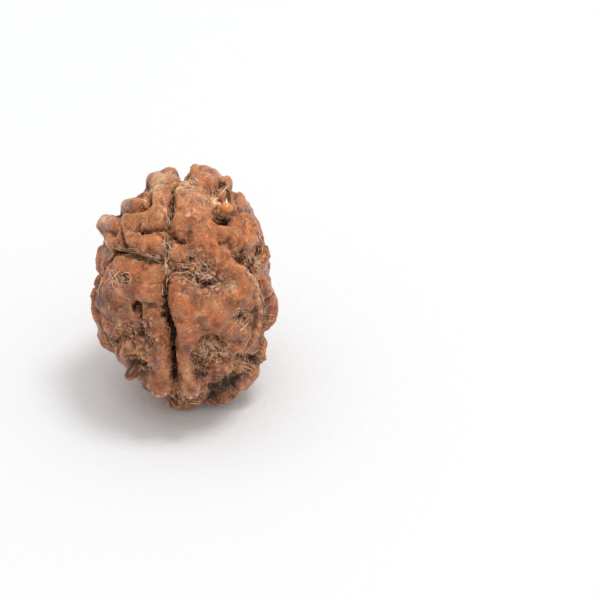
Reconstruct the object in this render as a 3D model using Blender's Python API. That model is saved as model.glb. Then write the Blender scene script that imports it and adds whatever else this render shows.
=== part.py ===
"""Rudraksha seed: one five-faced stone, dried and cleaned of its fruit, standing on its lower end.

The stone starts as a smooth egg. Its ridges, knobs, pits and furrows are raised from the egg or sunk
into it by a formula: the wood is followed outward along rays from the middle of the seed, and each ray
ends where the wood ends. The lists are in millimetres and the finished mesh is in metres, +Z up.
"""
import math
import random

import bpy
import numpy as np
from mathutils import Vector, noise

MM = 0.001

# The egg, in millimetres, and how far its axis leans back from upright, in degrees
HALF_LENGTH = 12.1
HALF_WIDTH = 8.6
PADDING = 0.3
LEAN_BACK = 8.0

# The height, in degrees above level, from which the front face is drawn
FACE_TILT = 36.0

# The stalk scar that the seed stands on: a broad lump, cut flat
SCAR_RADIUS = 4.2
SCAR_FORWARD = 0.8
SCAR_BOTTOM = 13.1
FOOT_DEPTH = 12.5
CUTTER_SIZE = 30.0

# Where the middle of the egg stands over the foot, in millimetres
MIDDLE = (-0.073, 0.124, 12.5)

# The rays, and the steps along them, in millimetres
RAY_DIVISIONS = 7
INNER_REACH = 5.5
OUTER_REACH = 15.5
STEP = 0.1
FACET_SHARE = 0.137

# How softly one form runs into the next, in millimetres
RIDGE_BLEND = 0.6
KNOB_BLEND = 0.25
DISH_BLEND = 0.5
PIT_BLEND = 0.22
FURROW_BLEND = 0.18

# Gaps between the forms of the front are filled nearly to the level of what is round them
STONE_AREA = 1500.0
FILL_WIDTH = 1.1
FILL_DROP = 0.3
FILL_BLEND = 0.3
FILL_EDGE = (0.3, 0.55)
FILL_FADE = 3.0

# Pits and furrows are placed where they are seen, this far above the egg
SEEN_RISE = 0.9
BACK_FURROW_FLOOR = 2.0
PIT_FOOT_WIDTH = 0.75
PIT_FLARE = 0.35
PIT_FLARE_END = 2.5

# A gentle unevenness over the whole seed
SWELL = 0.16
SWELL_LENGTH = 1.9

# The seed's own directions: those of the front face as drawn, and those of the axis
TILT = math.radians(FACE_TILT)
LEAN = math.radians(LEAN_BACK)
ACROSS = np.array((1.0, 0.0, 0.0))
UP = np.array((0.0, math.sin(TILT), math.cos(TILT)))
OUT = np.array((0.0, -math.cos(TILT), math.sin(TILT)))
AXIS = np.array((0.0, math.sin(LEAN), math.cos(LEAN)))
FRONT = np.array((0.0, -math.cos(LEAN), math.sin(LEAN)))

# Broad ridges that run softly into each other: across, up, radius and rise above the egg
RIDGES = {
    "band": [(-2.4, 10.7, 0.85, 1.1), (-2.5, 9.6, 0.95, 1.2), (-2.8, 8.6, 0.85, 1.2),
        (-2.8, 7.6, 0.8, 1.3), (-2.5, 6.9, 0.75, 1.3)],
    "hook fill": [(-5.1, 6.3, 0.75, 1.2), (-4.8, 5.2, 0.85, 1.25), (-3.6, 5.3, 0.75, 1.3),
        (-3.2, 6.5, 0.65, 1.15)],
    "under hook fill": [(-6.9, 3.4, 0.65, 0.9), (-5.6, 3.3, 0.65, 0.9), (-4.2, 3.1, 0.65, 1),
        (-2.8, 3.0, 0.65, 1)],
    "left shoulder": [(-8.4, 3.7, 0.8, 1), (-8.7, 2.9, 0.75, 1), (-8.9, 2.2, 0.6, 0.9)],
    "upper cheek": [(-7.6, 2.2, 1.15, 0.9), (-6.0, 2.1, 1.15, 0.9), (-4.5, 1.6, 1.05, 1),
        (-3.2, 1.5, 0.95, 1.1)],
    "middle cheek": [(-8.1, 0.4, 1.4, 1.1), (-6.4, 0.0, 1.4, 1.1), (-4.7, -0.3, 1.25, 1.3),
        (-3.5, -0.6, 1.1, 1.6)],
    "cheek fill": [(-5.3, 1.1, 0.95, 1), (-4.0, 0.5, 0.95, 1.15), (-3.1, 0.4, 0.75, 1.2)],
    "lower cheek": [(-8.5, -1.6, 1.25, 1.1), (-7.1, -1.5, 1.25, 1.2)],
    "left hip": [(-8.5, -3.2, 0.95, 1), (-7.6, -3.8, 0.95, 0.9)],
    "left rim": [(-9.1, -0.5, 0.75, 1.1), (-9.0, -1.6, 0.75, 1.1), (-8.9, -2.9, 0.75, 0.9)],
    "inner ridge left": [(-3.5, -2.5, 0.85, 1.2), (-3.3, -3.7, 0.8, 1.1), (-2.9, -4.8, 0.7, 1.2),
        (-2.5, -5.7, 0.7, 1.3), (-2.2, -6.8, 0.7, 1.1), (-2.3, -7.7, 0.75, 1)],
    "rough cheek": [(-5.9, -3.3, 0.85, 0.8), (-6.4, -4.3, 0.85, 0.8)],
    "lower rim": [(-8.3, -4.3, 0.75, 0.8), (-7.2, -5.1, 0.8, 0.9)],
    "outer rim": [(-8.5, -5.0, 0.65, 0.9), (-8.2, -5.8, 0.65, 0.9), (-7.6, -6.3, 0.55, 0.8)],
    "arch": [(-6.7, -6.9, 0.65, 0.8), (-5.7, -6.6, 0.85, 1.1), (-4.6, -6.7, 0.85, 1.1),
        (-3.6, -7.3, 0.75, 1.1), (-3.1, -8.1, 0.55, 1)],
    "under arch": [(-4.8, -8.9, 0.65, 0.6), (-4.0, -9.4, 0.55, 0.7)],
    "inner ridge right upper": [(-0.5, 10.4, 0.85, 1), (-0.4, 9.0, 0.95, 1), (-0.1, 7.7, 1.1, 1.2),
        (0.0, 6.8, 1.15, 1.5), (-0.3, 6.0, 0.85, 1.3)],
    "upper plateau": [(1.0, 9.4, 1.15, 1), (2.2, 8.8, 1.05, 1), (2.0, 7.5, 1.05, 1.1)],
    "plateau fill": [(0.3, 9.5, 0.95, 1), (0.6, 8.3, 1., 1.05), (1.0, 7.1, 1., 1.15)],
    "upper plateau edge": [(1.5, 6.6, 0.75, 1.2), (2.6, 6.3, 0.85, 1.3)],
    "right shoulder": [(5.7, 7.8, 0.85, 1.2), (6.6, 6.7, 1.05, 1.4), (6.7, 5.5, 1.3, 1.5),
        (6.3, 4.6, 0.95, 1.4)],
    "shoulder front": [(3.9, 5.8, 0.95, 1.3), (5.2, 5.6, 0.95, 1.4)],
    "right edge fold": [(8.0, 5.3, 0.55, 1.2), (8.4, 4.1, 0.6, 1.4), (8.4, 3.3, 0.65, 1.3),
        (8.1, 2.6, 0.55, 1)],
    "diagonal ridge": [(1.5, 5.8, 0.8, 1.2), (2.4, 5.1, 1., 1.3), (3.4, 3.9, 1.2, 1.4),
        (4.0, 2.6, 1.25, 1.5), (4.8, 1.7, 1.15, 1.3), (5.7, 1.0, 1.05, 1.2), (6.4, -0.2, 0.85, 1.2)],
    "belly top": [(-0.4, 0.5, 0.85, 0.9), (0.6, -0.5, 1.05, 1.1), (2.2, -1.3, 1.25, 1.3),
        (4.0, -1.0, 1.25, 1.2), (5.5, -0.6, 1.15, 1.2), (6.6, -1.6, 0.85, 1.1)],
    "belly middle": [(0.0, -1.9, 1.15, 1.3), (1.7, -2.3, 1.5, 1.5), (3.4, -2.5, 1.4, 1.5),
        (4.7, -2.0, 1.15, 1.3)],
    "belly low": [(0.0, -3.4, 0.9, 1.3), (1.5, -3.6, 1.05, 1.4), (3.2, -3.6, 1.05, 1.5),
        (4.9, -4.1, 1., 1.4), (6.1, -4.9, 1., 1.3), (5.8, -5.9, 0.85, 1.2)],
    "inner ridge right": [(-0.6, -1.1, 0.65, 1.1), (-0.4, -2.5, 0.75, 1.3), (0.0, -4.0, 0.85, 1.3),
        (0.2, -5.5, 0.9, 1.2), (0.1, -6.8, 0.8, 1), (0.2, -7.8, 0.75, 1.1)],
    "lump below hollow": [(3.2, -7.4, 0.65, 0.9), (4.0, -8.1, 1.05, 1.2), (3.5, -8.8, 0.75, 1)],
    "right granules": [(8.1, -5.1, 0.55, 0.9), (8.3, -6.0, 0.6, 0.9)],
    "right low band": [(6.7, -8.0, 0.65, 0.9), (5.7, -8.5, 0.65, 0.8)],
    "right keel": [(7.0, -9.0, 1.15, 1.2), (6.1, -9.8, 1.15, 1.2)],
}

# Knobs and thin ridges that stand clear of what is round them, in the same terms
KNOBS = {
    "left crown": [(-3.1, 11.3, 0.6, 0.9), (-2.3, 11.7, 0.7, 1), (-1.6, 11.9, 0.75, 1.1),
        (-1.0, 12.0, 0.7, 1)],
    "left crown bud": [(-3.4, 10.8, 0.4, 0.8), (-3.1, 11.2, 0.5, 0.8)],
    "olive bud": [(-3.9, 9.6, 0.4, 0.8), (-3.4, 9.2, 0.4, 0.9)],
    "long knob": [(-6.0, 8.7, 0.7, 1.2), (-5.1, 8.6, 0.85, 1.5), (-3.9, 8.6, 0.6, 1.2)],
    "round knob": [(-8.1, 6.6, 1.15, 1.8), (-6.9, 6.6, 0.85, 1.3)],
    "under knob": [(-7.8, 5.2, 0.7, 1.3), (-7.4, 4.6, 0.75, 1.3)],
    "hook arm": [(-4.6, 7.2, 0.8, 1.4), (-5.7, 7.0, 0.9, 1.6), (-5.6, 5.9, 0.85, 1.5),
        (-5.1, 4.9, 0.95, 1.6), (-4.2, 4.3, 0.95, 1.6), (-3.4, 4.5, 0.95, 1.7), (-2.7, 4.7, 0.9, 2.1)],
    "hook tip": [(-4.6, 7.2, 0.8, 1.4), (-3.8, 7.4, 0.6, 1.3)],
    "pleat": [(-3.7, 8.2, 0.3, 1.2), (-3.5, 7.0, 0.3, 1.2)],
    "left foot": [(-2.5, -9.0, 0.9, 1.5), (-2.5, -9.9, 1.3, 2.6), (-2.5, -10.2, 1.25, 2.5)],
    "arch lip": [(-6.0, -7.5, 0.35, 1.2), (-5.2, -7.3, 0.35, 1.3), (-4.5, -7.5, 0.35, 1.3),
        (-3.7, -8.0, 0.35, 1.2), (-3.3, -8.4, 0.3, 1.1)],
    "dark knob": [(-5.7, -9.1, 0.65, 2), (-5.0, -8.8, 0.5, 1.2)],
    "under foot": [(-4.1, -10.5, 0.65, 0.9), (-3.4, -10.9, 0.65, 0.9)],
    "right crown": [(1.1, 12.1, 0.85, 1.2), (1.9, 11.8, 1.1, 1.5), (2.9, 11.5, 1.05, 1.4),
        (3.5, 11.1, 0.65, 1)],
    "pink knob": [(4.4, 11.1, 0.7, 1.1)],
    "grey knob": [(5.6, 9.5, 0.75, 1.1), (5.0, 9.8, 0.4, 1)],
    "olive nub": [(5.8, 8.7, 0.6, 1), (6.7, 8.7, 0.5, 0.8)],
    "strand": [(4.5, 10.4, 0.3, 1), (4.0, 9.8, 0.35, 1), (3.5, 8.8, 0.35, 1.1)],
    "amber socket": [(3.7, 8.7, 0.3, 1.1), (3.9, 8.1, 0.3, 1), (5.2, 8.4, 0.55, 1.2)],
    "shoulder bead": [(5.2, 4.8, 0.55, 1.5)],
    "grey bulge": [(1.2, 5.0, 0.75, 1.1)],
    "near lump": [(-0.8, 3.8, 0.95, 1.5), (-0.3, 3.2, 0.8, 1.2)],
    "right foot": [(0.4, -9.1, 0.8, 1.5), (0.6, -10.0, 1.1, 2.4), (0.6, -10.5, 1.05, 2.4)],
    "purple lump": [(1.9, -7.8, 0.65, 0.7)],
    "red lump": [(2.3, -10.2, 0.7, 0.8)],
    "right lip": [(5.8, 2.3, 0.3, 1.2), (6.9, 1.2, 0.35, 1.2), (7.4, 0.1, 0.4, 1.2),
        (7.6, -1.0, 0.4, 1.2), (8.0, -2.0, 0.35, 1.2), (8.1, -3.2, 0.35, 1.15), (7.8, -4.1, 0.35, 1.1),
        (7.2, -5.5, 0.35, 1.1), (6.5, -6.5, 0.35, 1.1), (5.3, -7.4, 0.35, 1.1), (4.8, -8.4, 0.35, 1.1),
        (3.9, -9.3, 0.35, 1), (2.9, -10.5, 0.35, 0.9), (1.9, -11.7, 0.35, 0.9), (0.8, -12.4, 0.3, 0.9)],
    "right knob": [(8.2, 0.6, 0.75, 1), (8.6, -0.3, 0.75, 1.1), (9.2, -1.4, 0.75, 1.2),
        (9.3, -2.3, 0.75, 1.2), (9.1, -3.3, 0.75, 1.1), (8.6, -4.1, 0.65, 1)],
    "right low bud": [(8.0, -6.8, 0.75, 0.9), (8.1, -7.6, 0.8, 1), (7.5, -8.4, 0.85, 1)],
    "keel foot": [(5.0, -11.1, 0.75, 1), (4.1, -11.6, 0.75, 1), (3.2, -12.0, 0.65, 0.9)],
    "bottom fringe": [(2.0, -11.6, 0.75, 0.9), (1.2, -12.1, 0.7, 1), (0.6, -12.3, 0.65, 1)],
    "bottom bud": [(-1.4, -12.0, 0.65, 0.9), (-0.6, -12.2, 0.75, 1), (0.2, -12.3, 0.7, 1)],
}

# Broad hollows: across, up, half width and floor below the egg
DISHES = {
    "centre dish": [(1.2, 2.9, 0.75, -0.3), (2.0, 1.8, 0.95, -0.35), (2.6, 0.6, 0.7, -0.2)],
    "centre left dish": [(0.0, 1.8, 0.4, -0.3), (0.7, 1.0, 0.55, -0.2)],
    "lower dish": [(2.0, -5.9, 0.55, 0), (3.1, -6.0, 0.75, 0), (4.0, -6.3, 0.65, 0)],
    "lower dish floor": [(1.7, -7.1, 0.65, 0), (2.4, -8.0, 0.55, 0)],
    "side dish": [(1.3, -7.8, 0.5, 0.1), (1.9, -9.1, 0.5, 0.4)],
    "left rough dish": [(-6.0, -4.2, 0.95, -0.2), (-6.8, -5.1, 0.85, 0)],
    "left olive dish": [(-4.6, -4.8, 0.65, -0.1), (-3.8, -5.8, 0.65, 0)],
    "hook dish": [(-7.2, 4.0, 0.4, 0.1), (-6.0, 3.8, 0.35, 0.1), (-4.7, 3.3, 0.3, -0.2),
        (-3.4, 3.0, 0.3, -0.3), (-2.2, 2.9, 0.25, -0.3)],
    "cheek shadow": [(-4.5, -1.8, 0.25, -0.8), (-2.9, -1.9, 0.25, -0.8)],
    "fibre dish": [(6.0, 3.5, 0.55, 0.1), (7.2, 2.6, 0.55, -0.2), (7.6, 2.1, 0.4, -0.2)],
    "resin dish": [(3.5, 7.3, 0.5, 0.1), (4.5, 7.1, 0.5, 0.2)],
    "right dish": [(8.4, -1.7, 0.4, 0.3), (8.6, -3.5, 0.5, 0.3)],
    "black dish": [(5.4, -9.5, 0.65, 0.9), (4.5, -10.1, 0.75, 1.2), (3.1, -11.0, 0.75, 1.2)],
    "foot dish": [(-1.5, -11.7, 0.65, 0.4), (0.6, -11.9, 0.65, 0.4)],
    "pole dish": [(-0.3, 11.1, 0.35, -0.3), (0.5, 10.8, 0.4, -0.4)],
    "ring dish": [(5.8, -2.9, 0.7, -0.8)],
    "arch dish": [(-5.7, -7.7, 0.4, 1.2), (-4.9, -7.8, 0.55, 1.8), (-3.9, -8.3, 0.4, 1.4)],
    "hook back dish": [(-4.3, 8.3, 0.4, 0), (-3.8, 8.7, 0.4, 0)],
    "crown gap": [(-4.2, 10.8, 0.35, 1.6), (-4.7, 10.3, 0.5, 2.4), (-5.5, 10.3, 0.55, 2.6),
        (-6.1, 10.2, 0.4, 2.4)],
    "knob gap": [(-7.0, 7.8, 0.25, 0.5)],
    "ear dish": [(-8.4, -5.4, 0.4, 0.1), (-7.3, -6.1, 0.4, 0.1)],
    "low dish": [(5.6, -7.6, 0.3, 0.2), (7.6, -7.6, 0.3, 0.2)],
}

# Narrow pits and slits, in the same terms
PITS = {
    "hook hollow": [(-4.6, 6.0, 0.35, 0.4), (-3.9, 6.0, 0.4, 0.5), (-3.5, 5.8, 0.3, 0.3)],
    "hook pore": [(-4.3, 5.6, 0.15, 0.7)],
    "hook slit": [(-3.3, 6.0, 0.15, -0.2), (-2.5, 6.0, 0.15, 0), (-1.9, 6.2, 0.15, 0.4)],
    "hook shade": [(-7.5, 4.0, 0.3, 0.7), (-6.6, 4.1, 0.3, 0.8), (-5.6, 3.7, 0.25, 0.8),
        (-4.7, 3.3, 0.2, 0.5), (-3.6, 3.0, 0.15, 0.3), (-2.3, 3.0, 0.15, 0.3)],
    "curl": [(-6.6, 1.3, 0.4, -0.55), (-5.9, 0.7, 0.35, -0.5)],
    "dark pore": [(-5.1, -1.9, 0.4, 1.6), (-5.0, -2.4, 0.3, 1.4)],
    "pore slit": [(-4.7, -2.9, 0.15, 0.5), (-4.7, -4.1, 0.15, 0.5), (-4.8, -5.3, 0.2, 0.8)],
    "rough pores": [(-6.5, -5.4, 0.2, 0.9)],
    "rough pore two": [(-5.6, -5.4, 0.25, 1.1)],
    "rough pore three": [(-7.1, -5.9, 0.2, 0.9)],
    "rough pore four": [(-7.5, -4.9, 0.15, 0.6)],
    "olive hollow": [(-4.1, -5.0, 0.3, 0), (-3.7, -5.7, 0.3, 0.1)],
    "arch hollow": [(-5.7, -7.7, 0.3, 1.8), (-5.0, -7.8, 0.35, 2.4), (-4.1, -8.0, 0.35, 2.4),
        (-3.7, -8.3, 0.2, 1.8)],
    "red hollow": [(-9.1, 0.7, 0.5, 0.9)],
    "bud hole": [(-3.9, 9.6, 0.25, 0.9)],
    "ear hollow": [(-8.3, -5.5, 0.4, 0.7), (-7.7, -5.9, 0.35, 0.6)],
    "inner crease": [(-1.1, 5.4, 0.2, 0.6), (-0.4, 5.0, 0.2, 0.5), (0.2, 5.0, 0.15, 0.2)],
    "near crease": [(-1.4, 2.1, 0.15, 0.5), (-0.5, 2.0, 0.2, 0.4)],
    "centre hollow": [(2.2, 0.4, 0.3, 0.9), (2.8, 0.5, 0.25, 0.8)],
    "centre pore": [(0.8, 3.1, 0.25, 0.5), (1.1, 2.9, 0.2, 0.4)],
    "centre pore two": [(2.0, 2.2, 0.25, 0.5), (2.1, 1.9, 0.2, 0.4)],
    "centre pore three": [(1.5, 1.0, 0.25, 0.7), (1.7, 0.7, 0.2, 0.6)],
    "centre pore four": [(3.4, 0.8, 0.2, 0.4), (3.2, 1.2, 0.15, 0.3)],
    "centre hollow left": [(0.5, 1.4, 0.25, 0.3), (0.8, 1.2, 0.2, 0.4)],
    "resin hollow": [(3.6, 7.4, 0.4, 0.7), (4.0, 7.1, 0.45, 0.9), (4.7, 7.2, 0.4, 0.7)],
    "resin notch": [(3.9, 9.2, 0.25, 0.7)],
    "resin notch two": [(4.9, 9.2, 0.3, 0.9)],
    "crown notch": [(4.0, 11.1, 0.15, 0.2), (3.6, 10.7, 0.15, 0.1)],
    "shoulder crease": [(3.7, 4.6, 0.15, -0.3), (4.3, 4.7, 0.15, -0.3)],
    "violet hollow": [(5.8, 3.9, 0.4, 0.8), (6.0, 3.4, 0.45, 1.1), (6.1, 2.9, 0.35, 1.1),
        (6.6, 2.9, 0.25, 0.9)],
    "fibre hollow": [(7.2, 2.6, 0.35, 0.3), (7.7, 2.0, 0.25, 0.4)],
    "fibre pore": [(7.5, 3.3, 0.15, 0.3)],
    "fibre notch": [(7.5, 1.7, 0.25, 1)],
    "belly pit": [(5.7, -2.4, 0.2, -0.4), (6.0, -3.1, 0.2, -0.3)],
    "right hollow": [(8.4, -1.6, 0.3, 0.8), (8.6, -2.4, 0.5, 1.3), (8.5, -3.3, 0.5, 1.2),
        (8.3, -3.9, 0.3, 0.9)],
    "lower hollow": [(2.0, -5.8, 0.3, 0.4), (3.0, -5.7, 0.3, 0.5), (3.9, -5.9, 0.3, 0.5),
        (4.5, -6.4, 0.3, 0.3)],
    "lower hollow slit": [(2.1, -5.4, 0.15, 1), (3.2, -5.3, 0.2, 1.3), (3.7, -5.4, 0.2, 1.2)],
    "lower hollow floor": [(2.2, -6.9, 0.25, 0.3), (2.8, -6.8, 0.2, 0.3)],
    "side hollow": [(1.3, -7.4, 0.3, 0.4), (1.6, -8.3, 0.3, 0.5), (2.0, -9.1, 0.3, 1.1),
        (2.4, -9.0, 0.2, 1.1)],
    "low slot": [(5.5, -7.5, 0.2, 0.9), (6.0, -7.2, 0.25, 1), (6.5, -6.9, 0.15, 0.8)],
    "low slot two": [(7.0, -7.7, 0.15, 0.8), (7.6, -7.6, 0.2, 1), (8.2, -7.4, 0.15, 0.7)],
    "black hollow": [(5.2, -9.8, 0.35, 1.1), (4.6, -10.2, 0.5, 1.4), (3.8, -10.6, 0.5, 1.5),
        (3.2, -11.2, 0.45, 1.3)],
    "fringe hole": [(1.5, -11.7, 0.25, 0.9)],
    "fringe hole two": [(5.5, -8.6, 0.25, 0.6)],
    "foot hollow": [(-1.3, -11.4, 0.3, 0.8), (-0.2, -11.2, 0.3, 1), (0.0, -11.9, 0.3, 0.9)],
}

# Furrows on the front and at its two edges: across, up, half width
# and floor below the level at which they are seen
FURROWS = {
    "front furrow": [(0.0, 11.2, 0.15, 0.3), (-0.6, 11.0, 0.15, 0.3), (-1.1, 10.4, 0.15, 1),
        (-1.2, 9.3, 0.2, 1.7), (-1.3, 8.5, 0.25, 1.9), (-1.4, 7.6, 0.2, 1.7), (-1.6, 7.0, 0.15, 1.3),
        (-1.7, 6.3, 0.15, 1.3), (-1.5, 5.4, 0.15, 0.9), (-1.5, 4.7, 0.15, 0.8), (-1.7, 3.8, 0.15, 0.8),
        (-1.8, 2.8, 0.15, 0.7), (-1.7, 1.7, 0.15, 0.8), (-1.8, 0.6, 0.15, 1.3), (-1.9, -0.4, 0.2, 1.9),
        (-1.9, -1.6, 0.2, 2.4), (-1.7, -2.9, 0.3, 2.4), (-1.4, -3.9, 0.3, 2.4), (-1.2, -5.0, 0.3, 2.4),
        (-1.2, -6.0, 0.2, 2), (-1.2, -7.0, 0.2, 2), (-1.0, -8.1, 0.25, 2), (-0.9, -9.0, 0.25, 2),
        (-0.8, -10.0, 0.15, 2), (-0.7, -10.9, 0.25, 2), (-0.6, -11.9, 0.2, 1.4)],
    "left furrow": [(0.0, 11.2, 0.15, 0.3), (-1.3, 11.3, 0.1, 0.3), (-2.3, 10.9, 0.15, 0.5),
        (-3.3, 10.6, 0.15, 1), (-3.6, 9.8, 0.15, 1.6), (-3.7, 8.8, 0.15, 2), (-4.8, 7.9, 0.15, 2),
        (-6.5, 7.6, 0.15, 1.8), (-6.8, 6.8, 0.15, 1.6), (-6.5, 5.6, 0.2, 1.6), (-6.3, 4.7, 0.2, 1.6),
        (-7.0, 3.9, 0.2, 1.8), (-7.8, 3.1, 0.15, 2), (-8.6, 2.1, 0.15, 2), (-9.1, 1.0, 0.2, 2),
        (-9.3, -0.2, 0.15, 2), (-9.5, -1.3, 0.15, 2), (-9.2, -2.5, 0.15, 2), (-8.9, -3.8, 0.15, 2),
        (-8.6, -4.8, 0.15, 2), (-7.8, -5.6, 0.2, 2), (-7.2, -6.3, 0.15, 2), (-7.0, -7.3, 0.15, 1.8),
        (-6.9, -8.3, 0.15, 1.6), (-6.1, -10.1, 0.15, 1.6), (-4.7, -10.8, 0.2, 2), (-2.8, -11.8, 0.2, 2),
        (-0.6, -12.1, 0.2, 1.4)],
    "right furrow": [(0.0, 11.2, 0.15, 0.3), (0.8, 11.0, 0.15, 0.5), (1.8, 10.4, 0.15, 0.9),
        (2.8, 10.3, 0.15, 0.9), (3.5, 10.6, 0.15, 0.9), (4.2, 10.7, 0.15, 1.3), (4.8, 10.1, 0.2, 1.6),
        (5.0, 9.3, 0.2, 2), (5.7, 8.2, 0.15, 2), (6.8, 7.9, 0.15, 2), (7.5, 6.8, 0.15, 2),
        (8.1, 5.7, 0.15, 2), (8.4, 4.8, 0.15, 2), (8.0, 3.6, 0.2, 2), (7.6, 2.4, 0.25, 2),
        (7.7, 1.3, 0.2, 2), (8.0, -0.1, 0.2, 2), (8.4, -1.3, 0.25, 2), (8.6, -2.4, 0.3, 2),
        (8.5, -3.5, 0.25, 2), (8.0, -4.6, 0.15, 2), (7.6, -5.6, 0.15, 2), (6.8, -6.6, 0.15, 2),
        (5.7, -7.6, 0.2, 2), (5.2, -8.5, 0.15, 2), (4.7, -9.5, 0.2, 2), (3.7, -10.6, 0.25, 2),
        (2.5, -11.4, 0.2, 2), (1.3, -12.1, 0.15, 1.4), (-0.6, -11.9, 0.15, 1.4)],
}

# Furrows at the back: turn round the axis from the front in degrees, height along it and half width
BACK_FURROWS = {
    "back furrow": [(180, 12.9, 0.3), (180, 11.9, 0.45), (184, 10.4, 0.3), (189, 7.5, 0.25),
        (186, 4.0, 0.25), (191, 0.5, 0.3), (194, -3.0, 0.25), (188, -6.5, 0.25), (184, -9.5, 0.25),
        (180, -11.6, 0.2)],
    "right back furrow": [(104, 10.9, 0.2), (124, 9.4, 0.25), (132, 6.5, 0.25), (124, 3.0, 0.25),
        (125, -0.5, 0.3), (121, -4.0, 0.25), (114, -7.5, 0.25), (110, -10.0, 0.2), (120, -11.6, 0.2)],
}

# The crowns carried over the top to the back: turn, height, radius and rise
CROWN_BACKS = {
    "left crown back": [(-98, 12.2, 0.8, 1.2), (-125, 11.6, 0.95, 1.5), (-143, 10.6, 1.0, 1.5),
        (-152, 9.0, 1.0, 1.4)],
    "right crown back": [(103, 12.2, 1.05, 1.5), (133, 11.8, 1.1, 1.7), (150, 11.0, 1.1, 1.6),
        (158, 9.3, 1.1, 1.5)],
    "pink knob back": [(118, 11.0, 0.7, 1.2), (126, 10.2, 0.8, 1.3)],
}

# Broken ridges along both sides of each furrow at the back
BANK_OFFSET = 1.35
BANK_OFFSET_SPREAD = (0.9, 1.2)
BANK_RADIUS = (0.8, 1.05)
BANK_RISE = (1.0, 1.5)
BANK_PARTS = 3
BANK_BREAK = 0.3

# Lumps out of sight of the front face: each is joined to its nearest, if that is near enough
BACK_SEED = 58
LUMP_TRIES = 5200
LUMP_SPACING = 1.75
LUMP_LINK = 2.5
LUMP_RADIUS = (0.8, 1.3)
LUMP_RISE = (1.0, 1.9)
FURROW_CLEARANCE = 1.9
LINK_CLEARANCE = 1.5
LINE_POINTS = 8
FRONT_CLEARANCE = 1.35

# Towards the edge of the front face the lumps are low, so that they don't show beyond it
SIGHT_LIMIT = 0.4
EDGE_START = -0.6
EDGE_RISE = (0.25, 0.55)

# Pits between those lumps
PIT_TRIES = 900
PIT_SPACING = 1.05
PIT_HALF_WIDTH = (0.2, 0.5)
PIT_FLOOR = (0.4, 1.4)
PIT_RUN = (0.1, 1.0)


def clear_scene():
    for item in list(bpy.data.objects):
        bpy.data.objects.remove(item, do_unlink=True)


def egg_sizes(rise):
    return HALF_LENGTH + rise, HALF_WIDTH + rise


def on_face(across, up, rise):
    """The point of the egg, grown by rise, that the front face shows at this place."""
    long_half, wide_half = egg_sizes(rise)
    tip_up = float(UP @ AXIS)
    tip_out = float(OUT @ AXIS)
    stretch = 1 / long_half ** 2 - 1 / wide_half ** 2
    square = 1 / wide_half ** 2 + stretch * tip_out ** 2
    slope = 2 * stretch * up * tip_up * tip_out
    level = (across ** 2 + up ** 2) / wide_half ** 2 + stretch * (up * tip_up) ** 2 - 1
    root = max(slope ** 2 - 4 * square * level, 0.0)
    outward = (-slope + math.sqrt(root)) / (2 * square)
    return across * ACROSS + up * UP + outward * OUT


def ring_radius(height, rise):
    long_half, wide_half = egg_sizes(rise)
    return wide_half * math.sqrt(max(1 - (height / long_half) ** 2, 0.0))


def on_ring(turn, height, rise):
    """The point of the egg, grown by rise, at this turn round the axis and this height along it."""
    angle = math.radians(turn)
    outward = math.cos(angle) * FRONT + math.sin(angle) * ACROSS
    return height * AXIS + ring_radius(height, rise) * outward


def outward_at(point):
    """The egg's outward direction at a point."""
    along = float(point @ AXIS)
    beside = point - along * AXIS
    normal = beside / HALF_WIDTH ** 2 + along * AXIS / HALF_LENGTH ** 2
    return normal / np.linalg.norm(normal)


def soft_least(first, second, blend):
    share = np.clip(0.5 + 0.5 * (second - first) / blend, 0.0, 1.0)
    return second + (first - second) * share - blend * share * (1 - share)


def soft_most(first, second, blend):
    return -soft_least(-first, -second, blend)


def near_link(points, start, end):
    """How far along the link from start to end each point is, and its distance from the link."""
    run = end - start
    length = max(float(run @ run), 1e-9)
    share = np.clip(((points - start) @ run) / length, 0.0, 1.0)
    nearest = start + share[..., None] * run
    return share, np.linalg.norm(points - nearest, axis=-1)


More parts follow.
